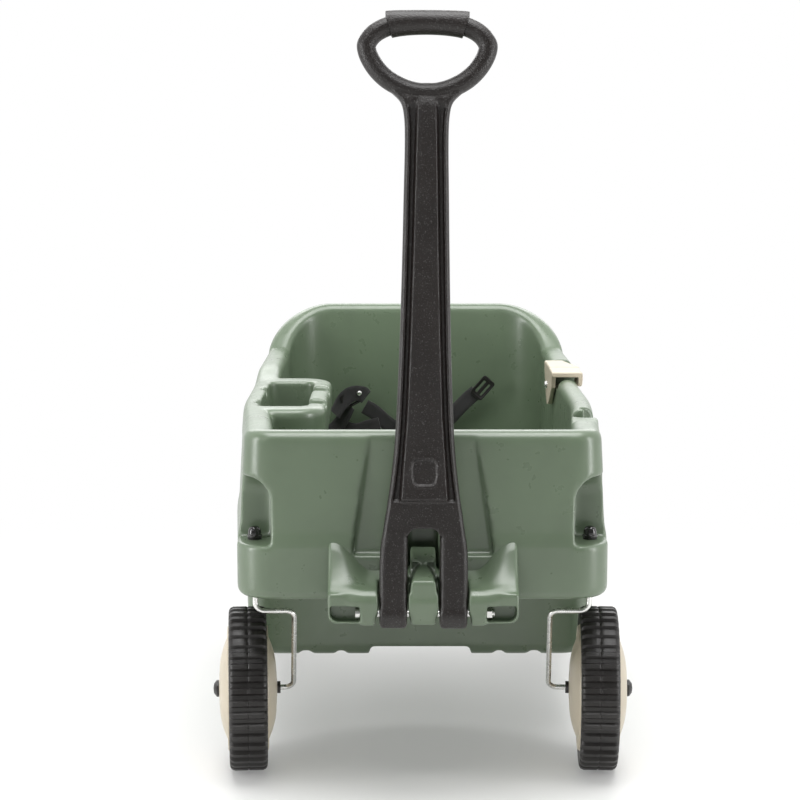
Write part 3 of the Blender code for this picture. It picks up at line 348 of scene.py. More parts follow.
def round_outline(low, high, radius, steps=8):
    """A rectangle with round corners."""
    points = []
    for x, y, start in ((high[0], high[1], 0), (low[0], high[1], 90),
                        (low[0], low[1], 180), (high[0], low[1], 270)):
        cx = x - math.copysign(radius, x - (low[0] + high[0]) / 2)
        cy = y - math.copysign(radius, y - (low[1] + high[1]) / 2)
        for i in range(steps + 1):
            a = math.radians(start + 90 * i / steps)
            points.append((cx + radius * math.cos(a), cy + radius * math.sin(a)))
    return points


def lathe(name, profile, axis="X", centre=(0, 0, 0), segments=64):
    """(radius, along) points turned about an axis; a profile that starts at 0 is solid."""
    tiny = 1e-5
    rings = []
    for radius, along in profile:
        radius = max(radius, tiny)
        ring = []
        for i in range(segments):
            a = 2 * math.pi * (i + 0.5) / segments
            spot = (radius * math.cos(a), radius * math.sin(a), along)
            ring.append([spot[k] + c for k, c in zip(AXIS_ORDER[axis], centre)])
        rings.append(ring)
    return loft(name, rings, closed_path=profile[0][0] >= tiny)


def bar(name, radius, low, high, axis="Z", centre=(0, 0, 0), segments=64):
    """A plain round bar."""
    return lathe(name, [(0, low), (radius, low), (radius, high), (0, high)], axis, centre, segments)


def tube(name, points, radius, sides=20):
    """A round rod along a line of points."""
    rings = []
    side = (points[1] - points[0]).orthogonal().normalized()
    for i, p in enumerate(points):
        along = (points[min(i + 1, len(points) - 1)] - points[max(i - 1, 0)]).normalized()
        side = (side - along * side.dot(along)).normalized()
        other = along.cross(side)
        rings.append([p + radius * (math.cos(a) * side + math.sin(a) * other)
                      for a in (2 * math.pi * k / sides for k in range(sides))])
    return loft(name, rings)


def bake(obj):
    """Applies the modifiers."""
    graph = bpy.context.evaluated_depsgraph_get()
    mesh = bpy.data.meshes.new_from_object(obj.evaluated_get(graph))
    obj.modifiers.clear()
    obj.data = mesh
    return obj


def combine(obj, tools, operation):
    """One Boolean per tool, applied; the tools are used up."""
    for tool in tools:
        mod = obj.modifiers.new("combine", "BOOLEAN")
        mod.operation = operation
        mod.solver = "EXACT"
        mod.object = tool
    bake(obj)
    for tool in tools:
        bpy.data.objects.remove(tool)
    return obj


def remesh(obj, voxel, smooth, ratio=1.0):
    """Rounds every edge as a moulding's are: voxels, smoothing, fewer faces."""
    mod = obj.modifiers.new("voxels", "REMESH")
    mod.mode = "VOXEL"
    mod.voxel_size = voxel
    mod = obj.modifiers.new("smooth", "SMOOTH")
    mod.iterations = smooth
    mod.factor = 0.5
    if ratio < 1:
        mod = obj.modifiers.new("fewer", "DECIMATE")
        mod.ratio = ratio
    return bake(obj)


def piece(obj, body_name, slot, *nodes, shift=True, place=None, smooth=0):
    """A finished piece: placed, shaded, given its material, body and slot.

    smooth is the angle in degrees above which an edge stays sharp, and 0 keeps none."""
    if place is not None:
        obj.data.transform(place)
    if shift:
        obj.data.transform(Matrix.Translation((0, -CENTRE_Y, 0)))
    obj.data.shade_smooth()
    if smooth:
        obj.data.set_sharp_from_angle(angle=math.radians(smooth))
    obj.data.materials.clear()
    obj.data.materials.append(MATS[slot])
    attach(obj, body_name)
    if nodes:
        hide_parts(*nodes)


def smooth_step(t):
    t = min(max(t, 0.0), 1.0)
    return t * t * (3 - 2 * t)


# ---------------------------------------------------------------- body
def side_x(y):
    """Half the wagon's width, which flares behind its front corners."""
    return FRONT_HALF_WIDTH + (REAR_HALF_WIDTH - FRONT_HALF_WIDTH) * smooth_step(y / FLARE_LENGTH)


def side_rim_z(y):
    return RIM_Z + REAR_SIDE_RISE * smooth_step((y - 0.50) / 0.12)


STRAIGHT, FRONT_TURN, SIDE, REAR_TURN = 8, 14, 60, 28


def outline(front, rear, inset, r_front, r_rear):
    """Plan points (x, y, rise) round the wagon; rise is 0 on the sides and 1 behind."""
    half = []
    front_x, rear_x = side_x(front + r_front) - inset, side_x(rear - r_rear) - inset
    for i in range(STRAIGHT):
        half.append(((front_x - r_front) * i / STRAIGHT, front, 0.0))
    for i in range(FRONT_TURN):
        a = math.radians(90 * i / FRONT_TURN)
        half.append((front_x - r_front + r_front * math.sin(a),
                     front + r_front - r_front * math.cos(a), 0.0))
    start, end = front + r_front, rear - r_rear
    for i in range(SIDE):
        y = start + (end - start) * i / SIDE
        half.append((side_x(y) - inset, y, 0.0))
    for i in range(REAR_TURN):
        a = math.radians(90 * i / REAR_TURN)
        half.append((rear_x - r_rear + r_rear * math.cos(a),
                     rear - r_rear + r_rear * math.sin(a), math.sin(a)))
    for i in range(STRAIGHT):
        half.append(((rear_x - r_rear) * (1 - i / STRAIGHT), rear, 1.0))
    half.append((0.0, rear, 1.0))
    return half + [(-x, y, rise) for x, y, rise in reversed(half[1:-1])]


def body_outline(inset):
    return outline(inset, BODY_LENGTH - inset, inset, max(FRONT_CORNER_RADIUS - inset, 0.010),
                   max(REAR_CORNER_RADIUS - inset, 0.020))


def tub(name, shrink=0.0):
    """The tub with its well: outside up to the rim, then down the inside to the seats."""
    def level(inset, z):
        return [(x, y, z) for x, y, _ in body_outline(inset)]

    def rim(inset, below):
        return [(x, y, side_rim_z(y) + REAR_CORNER_RISE * rise - below)
                for x, y, rise in body_outline(inset)]

    inner = RIM_SET_BACK + RIM_WIDTH
    rings = [level(shrink + 0.0085, LIP_Z), level(shrink + 0.0025, LIP_Z + 0.0025),
             level(shrink, LIP_Z + 0.0085), level(shrink, LEDGE_Z),
             level(shrink + 0.003, LEDGE_Z + 0.016)]
    turns = 6
    for i in range(turns + 1):
        a = math.radians(90 * i / turns)
        rings.append(rim(RIM_SET_BACK + shrink + RIM_EDGE * (1 - math.cos(a)),
                         RIM_EDGE * (1 - math.sin(a))))
    for i in range(turns + 1):
        a = math.radians(90 * (1 - i / turns))
        rings.append(rim(inner - RIM_EDGE * (1 - math.cos(a)), RIM_EDGE * (1 - math.sin(a))))
    rings += [level(SEAT_WALL_INSET - 0.006, SEAT_Z + 0.018),
              level(SEAT_WALL_INSET, SEAT_Z + 0.005), level(SEAT_WALL_INSET + 0.006, SEAT_Z)]
    obj = loft(name, rings)

    def well(inward, radius, levels):
        return [[(x, y, z) for x, y, _ in
                 outline(WELL_FRONT + inward + more, WELL_REAR - inward - more,
                         WELL_SIDE_INSET + inward + more, radius, radius)]
                for more, z in levels]

    block = loft("block", well(0.0, WELL_RADIUS, (
        (0.018, WELL_BOTTOM_Z), (0.009, WELL_BOTTOM_Z + 0.004), (0.005, WELL_BOTTOM_Z + 0.014),
        (0.0, LIP_Z + 0.010))))
    cavity = loft("cavity", well(SEAT_WALL_INSET + 0.012, WELL_RADIUS - 0.010, (
        (0.012, WELL_FLOOR_Z), (0.004, WELL_FLOOR_Z + 0.004), (0.0, WELL_FLOOR_Z + 0.014),
        (-0.010, SEAT_Z - 0.006), (-0.014, SEAT_Z + 0.006))))
    combine(obj, [block], "UNION")
    return combine(obj, [cavity], "DIFFERENCE")


def door_blank(name, gap):
    """The door's side outline, less a gap all round, through the right wall."""
    low, step = DOOR_BOTTOM_Z + gap, DOOR_STEP_Z + gap
    shape = [(DOOR_STEP_Y + gap, low), (DOOR_REAR - gap, low), (DOOR_REAR - gap, ABOVE_RIM_Z),
             (DOOR_FRONT + gap, ABOVE_RIM_Z), (DOOR_FRONT + gap, step), (DOOR_STEP_Y + gap, step)]
    return prism(name, shape, DOOR_INNER_X, REAR_HALF_WIDTH + 0.03)


def tine_stop():
    """Where the leaning tines' backs come to."""
    back = PIVOT_Y + math.tan(HANDLE_LEAN) * (HITCH_TOP_Z - PIVOT_Z)
    return back + TINE_RADIUS / math.cos(HANDLE_LEAN) + RUN_GAP / 2


def tine_slots():
    low, high = TINE_INNER - RUN_GAP, TINE_INNER + TINE_WIDTH + RUN_GAP
    return [box("slot", (a, -0.09, LIP_Z - 0.06), (b, tine_stop(), RIM_Z))
            for a, b in ((low, high), (-high, -low))]


def drinks_tray():
    """The tray's block; its outer wall follows the wagon's flaring side."""
    outer = -REAR_HALF_WIDTH + 0.0070
    rings = []
    for below, inset, bulge in ((TRAY_DEPTH, 0.016, 0.016), (0.070, 0.006, 0.005),
                                (0.035, 0.001, 0.0), (0.010, 0.0, 0.002), (0.005, 0.0012, 0.004),
                                (0.0018, 0.004, 0.007), (0.0, 0.010, 0.012)):
        ring = round_outline((outer + bulge, TRAY_FRONT + inset),
                             (-TRAY_INNER_X - inset, TRAY_REAR - inset), 0.046 - inset, 12)
        rings.append([(x + (REAR_HALF_WIDTH - side_x(y) if x < TRAY_MIDDLE_X else 0.0), y,
                       RIM_Z - below) for x, y in ring])
    return loft("tray", rings)


def axle_boss(x):
    """A tapered boss under the rear, which the axle runs through."""
    half = [(0.034, LIP_Z + 0.006), (0.018, WHEEL_RADIUS - 0.010), (0.010, WHEEL_RADIUS - 0.018)]
    shape = [(REAR_AXLE_Y - y, z) for y, z in half]
    shape += [(REAR_AXLE_Y + y, z) for y, z in reversed(half)]
    return prism("boss", shape, x - AXLE_BOSS_HALF, x + AXLE_BOSS_HALF)


def front_cuts():
    """The slots for the tines, the sloping recess behind the handle, and its pocket."""
    recess = [(-0.084, LIP_Z + 0.055), (0.084, LIP_Z + 0.055), (0.060, RIM_Z + 0.02),
              (-0.060, RIM_Z + 0.02)]
    return tine_slots() + [
        prism("recess", recess, -0.03, 0.011, "Y"),
        box("pocket", (-TINE_INNER, -0.03, LIP_Z + 0.024), (TINE_INNER, 0.034, 0.346))]


def caster_notch(sign):
    """The open corner above a caster, with a rounded roof."""
    span = sorted((sign * (STEM_X - 0.022), sign * (FRONT_HALF_WIDTH + 0.05)))
    rings = []
    for above, shrink in ((0.0, 0.0), (0.055, 0.0), (0.066, 0.003), (0.075, 0.010),
                          (0.080, 0.020)):
        low = span[0] + (shrink if sign > 0 else 0)
        high = span[1] - (shrink if sign < 0 else 0)
        ring = round_outline((low, -0.06), (high, STEM_Y + 0.017 - shrink), 0.010, 5)
        rings.append([(x, y, LEDGE_Z + above) for x, y in ring])
    return loft("notch", rings)


def tray_cuts():
    """The tray's long well for two cups, and the mug-handle slots at its ends."""
    cup = [[(x, y, z) for x, y in round_outline((-CUP_OUTER_X + more, CUP_FRONT + more),
                                                (-CUP_INNER_X - more, CUP_REAR - more),
                                                0.012, 6)]
           for more, z in ((0.007, RIM_Z - 0.092), (0.0, RIM_Z - 0.010), (0.0, RIM_Z + 0.03))]
    cuts = [loft("cup", cup)]
    for start in (TONGUE_Y - TONGUE_LENGTH / 2 - SLOT_LENGTH, TONGUE_Y + TONGUE_LENGTH / 2):
        slot = round_outline((-CUP_OUTER_X - 0.006, start),
                             (-TRAY_INNER_X + 0.03, start + SLOT_LENGTH), 0.018, 8)
        cuts.append(prism("mug", slot, RIM_Z - 0.010, RIM_Z + 0.03, "Z"))
    return cuts


def door_cuts():
    """The door's opening and knuckle sockets, the latch's seat, and the dip at the hinge."""
    cuts = [door_blank("opening", 0.0)]
    cuts += [bar("socket", HINGE_BARREL + RUN_GAP, low, high, centre=HINGE)
             for low, high in ((DOOR_STEP_Z, KNUCKLE_LOW), (KNUCKLE_HIGH, ABOVE_RIM_Z))]
    cuts.append(box("latch_seat", (DOOR_INNER_X, DOOR_REAR - 0.01, LATCH_PLATE_Z - RUN_GAP),
                    (REAR_HALF_WIDTH + 0.03, LATCH_REAR + RUN_GAP, ABOVE_RIM_Z)))
    dip = [(DOOR_FRONT - 0.095, RIM_Z + 0.0005), (DOOR_FRONT - 0.070, RIM_Z - 0.0065),
           (DOOR_FRONT + 0.010, RIM_Z - 0.0075), (DOOR_FRONT + 0.010, ABOVE_RIM_Z),
           (DOOR_FRONT - 0.095, ABOVE_RIM_Z)]
    cuts.append(prism("dip", dip, DOOR_INNER_X - 0.01, REAR_HALF_WIDTH + 0.03))
    return cuts


def well_grooves():
    """The shallow channel and the four narrow grooves under the foot well."""
    cuts = []
    for x, half, deep in ((0.0, 0.065, 0.012), (-0.1505, 0.0068, 0.006), (-0.104, 0.0058, 0.006),
                          (0.104, 0.0058, 0.006), (0.1505, 0.0068, 0.006)):
        groove = [(x - half - 0.003, WELL_BOTTOM_Z - 0.01), (x + half + 0.003, WELL_BOTTOM_Z - 0.01),
                  (x + half, WELL_BOTTOM_Z + deep), (x - half, WELL_BOTTOM_Z + deep)]
        cuts.append(prism("groove", groove, WELL_FRONT - 0.02, WELL_REAR + 0.02, "Y"))
    return cuts


def body():
    """The moulded tub with its drinks tray, door opening, corner notches and well."""
    obj = tub("wagon_body_shell")
    combine(obj, [drinks_tray(), axle_boss(AXLE_BOSS_X), axle_boss(-AXLE_BOSS_X)], "UNION")
    cuts = front_cuts() + [caster_notch(1), caster_notch(-1)]
    cuts += tray_cuts() + door_cuts() + well_grooves()
    combine(obj, cuts, "DIFFERENCE")
    knuckle = bar("knuckle", HINGE_BARREL - RUN_GAP, KNUCKLE_LOW + 0.0005, KNUCKLE_HIGH - 0.0005,
                  centre=HINGE)
    combine(obj, [knuckle], "UNION")
    remesh(obj, 0.0027, 7, 0.36)
    piece(obj, "wagon_body", "sage_plastic", "body")


# ---------------------------------------------------------------- hitch
def foot(sign, inner, outer, low, high, front, back):
    """A block under a wing, its lower outer corner rounded."""
    radius = 0.0095
    shape = [(inner, high), (inner, low)]
    for k in range(9):
        a = math.radians(-90 + 90 * k / 8)
        shape.append((outer - radius + radius * math.cos(a), low + radius + radius * math.sin(a)))
    shape.append((outer, high))
    return prism("foot", [(sign * x, z) for x, z in shape], front, back, "Y")


def wing_section(x):
    """The wings' section at x: a scooped front that leans back to a level top."""
    out = abs(x) / HITCH_HALF_WIDTH
    # the top sinks from the high outer corners to the lugs beside the handle
    top = HITCH_TOP_Z - 0.034 * smooth_step((0.97 - out) / 0.42) ** 1.3
    nose = PIVOT_Y - LUG_RADIUS + 0.012 * smooth_step((out - 0.55) / 0.45) ** 2
    low = LIP_Z + 0.003 - 0.010 * smooth_step((1.0 - out) / 0.4)
    mid = low + 0.55 * (PIVOT_Z + 0.030 - low)
    scoop = 0.010 * math.sin(math.pi * min(out / 0.9, 1.0))
    ring = [(0.018, low), (nose + 0.008, low), (nose + 0.001, low + 0.004), (nose, mid),
            (nose + 0.003, mid + 0.008), (nose + 0.011, mid + 0.013)]
    for k in range(1, 8):
        t = k / 8
        y = (nose + 0.011) * (1 - t) - 0.002 * t
        z = (mid + 0.013) + (top - 0.003 - mid - 0.013) * t ** 1.25 - scoop * t * (1 - t)
        ring.append((y, z))
    ring += [(0.003, top), (0.018, top)]
    return [(x, y, z) for y, z in ring]


def lug(name, low, high, radius, rise):
    """A lug whose lower front is round about the bolt."""
    shape = [(0.014, PIVOT_Z - 0.004)]
    for k in range(13):
        a = math.radians(-60 - 120 * k / 12)
        shape.append((PIVOT_Y + radius * math.cos(a), PIVOT_Z + radius * math.sin(a)))
    shape += [(PIVOT_Y - radius, PIVOT_Z + rise), (0.014, PIVOT_Z + rise + 0.030)]
    return prism(name, shape, low, high)


def hitch():
    """The hitch under the front wall: saddle-topped wings and three lugs."""
    steps = 24
    obj = loft("hitch", [wing_section(HITCH_HALF_WIDTH * i / steps)
                         for i in range(-steps, steps + 1)])
    adds = [lug("lug_left", -0.0730, -0.0555, 0.0145, 0.018),
            lug("lug_right", 0.0555, 0.0730, 0.0145, 0.018),
            lug("lug_middle", -0.0150, 0.0150, 0.0135, 0.040)]
    adds += [foot(sign, FOOT_INNER, 0.1110, LIP_Z - 0.0160, LIP_Z + 0.020, PIVOT_Y - 0.010, 0.014)
             for sign in (1, -1)]
    combine(obj, adds, "UNION")
    remesh(obj, 0.0018, 6)
    cuts = tine_slots()
    cuts += [foot(sign, FOOT_INNER, 0.1085, LIP_Z - 0.0135, LIP_Z + 0.005, PIVOT_Y - 0.03,
                  PIVOT_Y + 0.005) for sign in (1, -1)]
    # the middle lug's top is an arch, in front of the front wall's pocket
    for sign in (1, -1):
        arch = [(0.0, 0.2880), (0.0045, 0.2862), (0.0090, 0.2822), (0.0125, 0.2765),
                (0.0146, 0.2690), (0.0158, 0.2600), (TINE_INNER, 0.2560), (TINE_INNER, 0.2900)]
        cuts.append(prism("arch", [(sign * x, z) for x, z in arch], -0.09, -0.010, "Y"))
    combine(obj, cuts, "DIFFERENCE")
    remesh(obj, 0.0015, 4, 0.5)
    piece(obj, "wagon_body", "sage_plastic", "body")


# ---------------------------------------------------------------- door
def door():
    """A part of the wall, cut out of a slightly smaller tub, with its knuckles."""
    obj = tub("side_door_panel", DOOR_SET_BACK)
    combine(obj, [door_blank("blank", DOOR_GAP)], "INTERSECT")
    # nothing reaches further from the hinge than the rear edge does
    reach = DOOR_REAR - DOOR_GAP - DOOR_FRONT
    combine(obj, [bar("sweep", reach, DOOR_BOTTOM_Z - 0.02, RIM_Z + 0.06, "Z", HINGE, 256)],
            "INTERSECT")
    # the front end is relieved along the wall's side, turned back by the full swing
    across, back = math.cos(DOOR_SWING), math.sin(DOOR_SWING)
    clear = side_x(DOOR_FRONT) - HINGE_X + SEAT_GAP
    far = 0.060
    relief = [(0.0, 0.0), (0.0, -0.03), (far, -0.03), (far, (clear - across * far) / back),
              (clear * across, clear * back)]
    low = math.hypot(side_x(DOOR_STEP_Y) - HINGE_X, DOOR_STEP_Y - DOOR_FRONT) + RUN_GAP
    cuts = [prism("relief", [(HINGE_X + x, DOOR_FRONT + y) for x, y in relief],
                  DOOR_BOTTOM_Z - 0.01, RIM_Z + 0.06, "Z"),
            bar("hollow", low, DOOR_BOTTOM_Z - 0.02, BARREL_LOW_Z, "Z", HINGE, 96)]
    combine(obj, cuts, "DIFFERENCE")
    turned = [(0, BARREL_LOW_Z), (HINGE_BARREL - 0.002, BARREL_LOW_Z),
              (HINGE_BARREL, BARREL_LOW_Z + 0.002), (HINGE_BARREL, BARREL_TOP_Z - 0.003),
              (HINGE_BARREL - 0.003, BARREL_TOP_Z), (0, BARREL_TOP_Z)]
    combine(obj, [lathe("barrel", turned, "Z", HINGE, 48)], "UNION")
    cuts = [bar("gap", HINGE_BARREL + RUN_GAP, KNUCKLE_LOW - RUN_GAP, KNUCKLE_HIGH + RUN_GAP, "Z",
                HINGE, 48),
            box("step", (DOOR_INNER_X - 0.05, LATCH_FRONT - 0.004, RIM_Z - 0.013),
                (REAR_HALF_WIDTH + 0.05, DOOR_REAR + 0.02, RIM_Z + 0.06))]
    combine(obj, cuts, "DIFFERENCE")
    remesh(obj, 0.0021, 6, 0.4)
    piece(obj, "side_door", "sage_plastic", "door")


# ---------------------------------------------------------------- latch
def latch():
    """A two-level saddle over the rim, its outer lip, and its slotted inner leaf."""
    inner = REAR_HALF_WIDTH - RIM_SET_BACK - RIM_WIDTH - RUN_GAP
    outer = REAR_HALF_WIDTH - RIM_SET_BACK - DOOR_SET_BACK + RUN_GAP
    thick = LATCH_THICKNESS
    rings = []
    for y, top, narrow in ((LATCH_FRONT, 0.0060, 0.0), (LATCH_FRONT + 0.001, 0.0072, 0.0),
                           (LATCH_FRONT + 0.030, 0.0076, 0.0), (LATCH_FRONT + 0.056, 0.0078, 0.0),
                           (LATCH_FRONT + 0.060, 0.0092, 0.0), (LATCH_REAR - 0.070, 0.0092, 0.003),
                           (LATCH_REAR - 0.045, 0.0092, 0.010), (LATCH_REAR - 0.010, 0.0090, 0.016),
                           (LATCH_REAR, 0.0080, 0.018)):
        ring = round_outline((inner - thick, LATCH_PLATE_Z),
                             (outer + thick - narrow, LATCH_PLATE_Z + top), 0.0022, 4)
        rings.append([(x, y, z) for x, z in ring])
    obj = loft("latch_saddle", rings)
    top = LATCH_PLATE_Z + 0.003
    knots = ((LATCH_FRONT + 0.008, 0.0), (LATCH_FRONT + 0.014, -0.020),
             (LATCH_BOLT_Y - 0.048, -0.038), (LATCH_BOLT_Y - 0.022, -0.051),
             (LATCH_BOLT_Y, -0.054), (LATCH_BOLT_Y + 0.014, -0.048),
             (LATCH_BOLT_Y + 0.034, -0.028), (LATCH_REAR - 0.008, -0.012),
             (LATCH_REAR - 0.004, 0.0))
    leaf = prism("leaf", [(y, top + z) for y, z in knots], inner - thick, inner)
    lip = []
    for z, x in ((top, 0.0), (LATCH_PLATE_Z - 0.004, 0.0), (LATCH_PLATE_Z - 0.0095, -0.0004),
                 (LATCH_PLATE_Z - 0.0130, -0.0016)):
        lip.append([(outer + x + a, b, z) for a, b in
                    ((0, LATCH_FRONT), (thick, LATCH_FRONT), (thick, LATCH_FRONT + 0.064),
                     (0, LATCH_FRONT + 0.064))])
    combine(obj, [leaf, loft("lip", lip)], "UNION")
    wide = 0.0029
    slot = round_outline((LATCH_BOLT_Y - wide, LATCH_BOLT_Z - LATCH_TRAVEL - wide),
                         (LATCH_BOLT_Y + wide, LATCH_BOLT_Z + wide), wide - 0.0001, 8)
    combine(obj, [prism("slot", slot, inner - 0.02, inner + 0.01)], "DIFFERENCE")
    remesh(obj, 0.0010, 4, 0.5)
    piece(obj, "latch", "tan_plastic", "door_latch")


# ---------------------------------------------------------------- handle
def curve(table, at):
    """A smooth curve through a table's points."""
    for i in range(len(table) - 1):
        if at <= table[i + 1][0]:
            (x0, y0), (x1, y1) = table[i], table[i + 1]
            before = table[max(i - 1, 0)]
            after = table[min(i + 2, len(table) - 1)]
            t = (at - x0) / (x1 - x0)
            m0 = (y1 - before[1]) / max(x1 - before[0], 1e-9) * (x1 - x0)
            m1 = (after[1] - y0) / max(after[0] - x0, 1e-9) * (x1 - x0)
            return ((2 * t ** 3 - 3 * t ** 2 + 1) * y0 + (t ** 3 - 2 * t ** 2 + t) * m0
                    + (3 * t ** 2 - 2 * t ** 3) * y1 + (t ** 3 - t ** 2) * m1)
    return table[-1][1]


# (height above the bolt, size) along the shaft
HALF_WIDTHS = ((0.0, 0.0515), (0.070, 0.0510), (0.100, 0.0470), (0.135, 0.0418),
               (0.170, 0.0374), (0.205, 0.0344), (0.290, 0.0306), (0.380, 0.0282),
               (0.490, 0.0262), (0.557, 0.0254), (0.583, 0.0272), (0.595, 0.0315),
               (0.606, 0.0430))
DEPTHS = ((0.0, 0.0155), (0.557, 0.0155), (0.583, 0.0145), (0.595, 0.0130), (0.606, 0.0105))
PANEL_HALF_WIDTHS = ((0.120, 0.0290), (0.135, 0.0284), (0.200, 0.0240), (0.230, 0.0218),
                     (0.380, 0.0170), (0.560, 0.0132), (0.595, 0.0122))
SHAFT_TOP, SHAFT_STEP = 0.606, 0.0016


def handle_place():
    """From heights along the shaft above the bolt to the leaning handle."""
    return (Matrix.Translation((0, PIVOT_Y, PIVOT_Z))
            @ Euler((-HANDLE_LEAN, HANDLE_TILT, 0)).to_matrix().to_4x4())


def grip_line():
    """The grip loop's points (x, height), round from the middle of its top."""
    right = [(x, HANDLE_LENGTH - below) for x, below in GRIP_LINE]
    lowest = [(0.0, HANDLE_LENGTH - GRIP_LINE[-1][1] - 0.0005)]
    return right + lowest + [(-x, z) for x, z in reversed(right[1:])]


def smooth_between(points, f):
    """The spot a share f from the second to the third of four points, on a smooth curve."""
    a, b, c, d = points
    return 0.5 * (2 * b + (c - a) * f + (2 * a - 5 * b + 4 * c - d) * f ** 2
                  + (3 * b - a - 3 * c + d) * f ** 3)


def grip_point(t):
    line = grip_line()
    i, f = int(math.floor(t)), t - math.floor(t)
    p = smooth_between([Vector((*line[(i + k) % len(line)], 0)) for k in (-1, 0, 1, 2)], f)
    return Vector((p.x, 0, p.y))


def grip_section(t, more=0.0, sides=36):
    along = (grip_point(t + 0.05) - grip_point(t - 0.05)).normalized()
    outward = along.cross(Vector((0, 1, 0)))
    thick, deep = GRIP_THICKNESS / 2 + more, GRIP_DEPTH / 2 + more
    return [grip_point(t) + thick * math.cos(b) * outward + deep * math.sin(b) * Vector((0, 1, 0))
            for b in (2 * math.pi * (k + 0.5) / sides for k in range(sides))]


def panel_half(height):
    """Half the width of the handle's raised middle panel."""
    return curve(PANEL_HALF_WIDTHS, height)


def front_height(x, height, half):
    """How far the handle's face stands at x: a rim, a groove, the panel, the blank badge."""
    out = abs(x)
    rim = half - 0.0062
    fade_top = smooth_step((0.603 - height - 0.35 * out) / 0.014)
    fade_low = smooth_step((height - 0.130) / 0.004)
    groove = smooth_step((rim + 0.0012 - out) / 0.0022)
    raised = smooth_step((panel_half(height) + 0.0006 - out) / 0.0030) * fade_low
    depth = -0.0052 * groove * fade_top * (0.12 + 0.88 * fade_low)
    depth += (0.0066 + 0.0022 * smooth_step((0.160 - height) / 0.03)) * raised * fade_top
    if 0.14 < height < 0.19:
        # the badge is a raised line round a sunk square
        u, v = x / 0.0172, (height - 0.1655) / 0.0185
        from_middle = max(abs(u), abs(v)) + 0.25 * min(abs(u), abs(v)) ** 3
        line = smooth_step((1.0 - from_middle) / 0.07)
        sunk = smooth_step((0.86 - from_middle) / 0.07)
        depth += 0.0008 * line - 0.0028 * sunk
    return depth


def shaft_section(height):
    """The shaft's section: its shaped face, then its plain back, with rounded edges."""
    half, deep = curve(HALF_WIDTHS, height), curve(DEPTHS, height)
    across, back = 61, 24
    ring = []
    for k in range(across):
        x = -half * math.cos(math.pi * k / (across - 1))
        corner = min(0.0075, deep * 0.7)
        side = max(abs(x) - (half - corner), 0.0)
        y = -deep + corner - math.sqrt(max(corner ** 2 - side ** 2, 0.0))
        if side < corner * 0.6:
            y -= front_height(x, height, half)
        ring.append(Vector((x, y, height)))
    for k in range(back):
        x = half * math.cos(math.pi * (k + 0.5) / back)
        corner = min(0.0080, deep * 0.7)
        side = max(abs(x) - (half - corner), 0.0)
        y = deep - corner + math.sqrt(max(corner ** 2 - side ** 2, 0.0))
        ring.append(Vector((x, y, height)))
    return ring


def tine(sign):
    """A tine that widens with the shaft, and its round end on the bolt."""
    rings = []
    steps = 26
    for k in range(steps + 1):
        h = (CROTCH_HEIGHT + 0.006) * k / steps
        wide = (curve(HALF_WIDTHS, h) - TINE_INNER) / 2
        at = sign * (TINE_INNER + wide)
        deep = 0.0165 - 0.0012 * smooth_step(h / 0.09) - 0.0015 * smooth_step((h - 0.096) / 0.01)
        ring = round_outline((at - wide, -deep), (at + wide, deep), 0.0075, 8)
        rings.append([Vector((a, b, max(h, 0.001))) for a, b in ring])
    half = TINE_WIDTH / 2 - 0.0004
    middle = sign * (TINE_INNER + TINE_WIDTH / 2)
    low, high = middle - half, middle + half
    turned = [(0, low), (TINE_RADIUS - 0.004, low), (TINE_RADIUS - 0.0012, low + 0.0014),
              (TINE_RADIUS, low + 0.004), (TINE_RADIUS, high - 0.004),
              (TINE_RADIUS - 0.0012, high - 0.0014), (TINE_RADIUS - 0.004, high), (0, high)]
    return [loft("tine", rings), lathe("tine_end", turned)]


def handle():
    """Shaft with its panel, grooves and blank badge; two tines; the grip loop."""
    start = CROTCH_HEIGHT - 0.010
    count = int((SHAFT_TOP - start) / SHAFT_STEP) + 1
    obj = loft("handle_moulding", [shaft_section(start + SHAFT_STEP * k) for k in range(count)])
    for sign in (-1, 1):
        combine(obj, tine(sign), "UNION")
    loop = loft("loop", [grip_section(k / 4) for k in range(len(grip_line()) * 4)],
                closed_path=True)
    web = prism("web", [(-0.034, 0.598), (0.034, 0.598), (0.030, 0.612), (-0.030, 0.612)],
                -0.0085, 0.0085, "Y")
    combine(obj, [loop, web], "UNION")
    # the slot between the tines ends in a rounded arch, and the bolt's bore goes through
    arch = round_outline((-TINE_INNER, 0.02), (TINE_INNER, CROTCH_HEIGHT - 0.002), 0.011, 8)
    bore = bar("bore", BOLT_RADIUS + 0.001, -0.08, 0.08, "X", segments=24)
    combine(obj, [prism("arch", arch, -0.05, 0.05, "Y"), bore], "DIFFERENCE")
    remesh(obj, 0.0011, 3, 0.45)
    piece(obj, "pull_handle", "handle_plastic", "handle", place=handle_place())


def grip_cover():
    """The sleeve round the grip's bar: filled up to a level top outside, hollow inside."""
    reach = SLEEVE_REACH / GRIP_LINE[2][0] * 2
    stations = [reach * k / 20 for k in range(-20, 21)]
    level = grip_point(0).z

    def outside(t, more):
        points = grip_section(t, more, 36)
        middle, fill = grip_point(t), 0.85 * (level - grip_point(t).z)
        for q in points:
            q.z += fill * smooth_step((q.z - middle.z) / (GRIP_THICKNESS / 2))
        return points

    rings = [outside(stations[0], 0.0018), outside(stations[0] * 0.99, 0.0029)]
    rings += [outside(t, 0.0031) for t in stations[1:-1]]
    rings += [outside(stations[-1] * 0.99, 0.0029), outside(stations[-1], 0.0018)]
    rings += [grip_section(t, 0.0013, 36) for t in reversed(stations)]
    sleeve = loft("grip_cover", rings, closed_path=True)
    piece(sleeve, "pull_handle", "handle_plastic", "grip_sleeve", place=handle_place(),
          smooth=50)


# ---------------------------------------------------------------- wheels
LUGS, LUG_STEPS, LUG_DEPTH = 42, 12, 0.0036


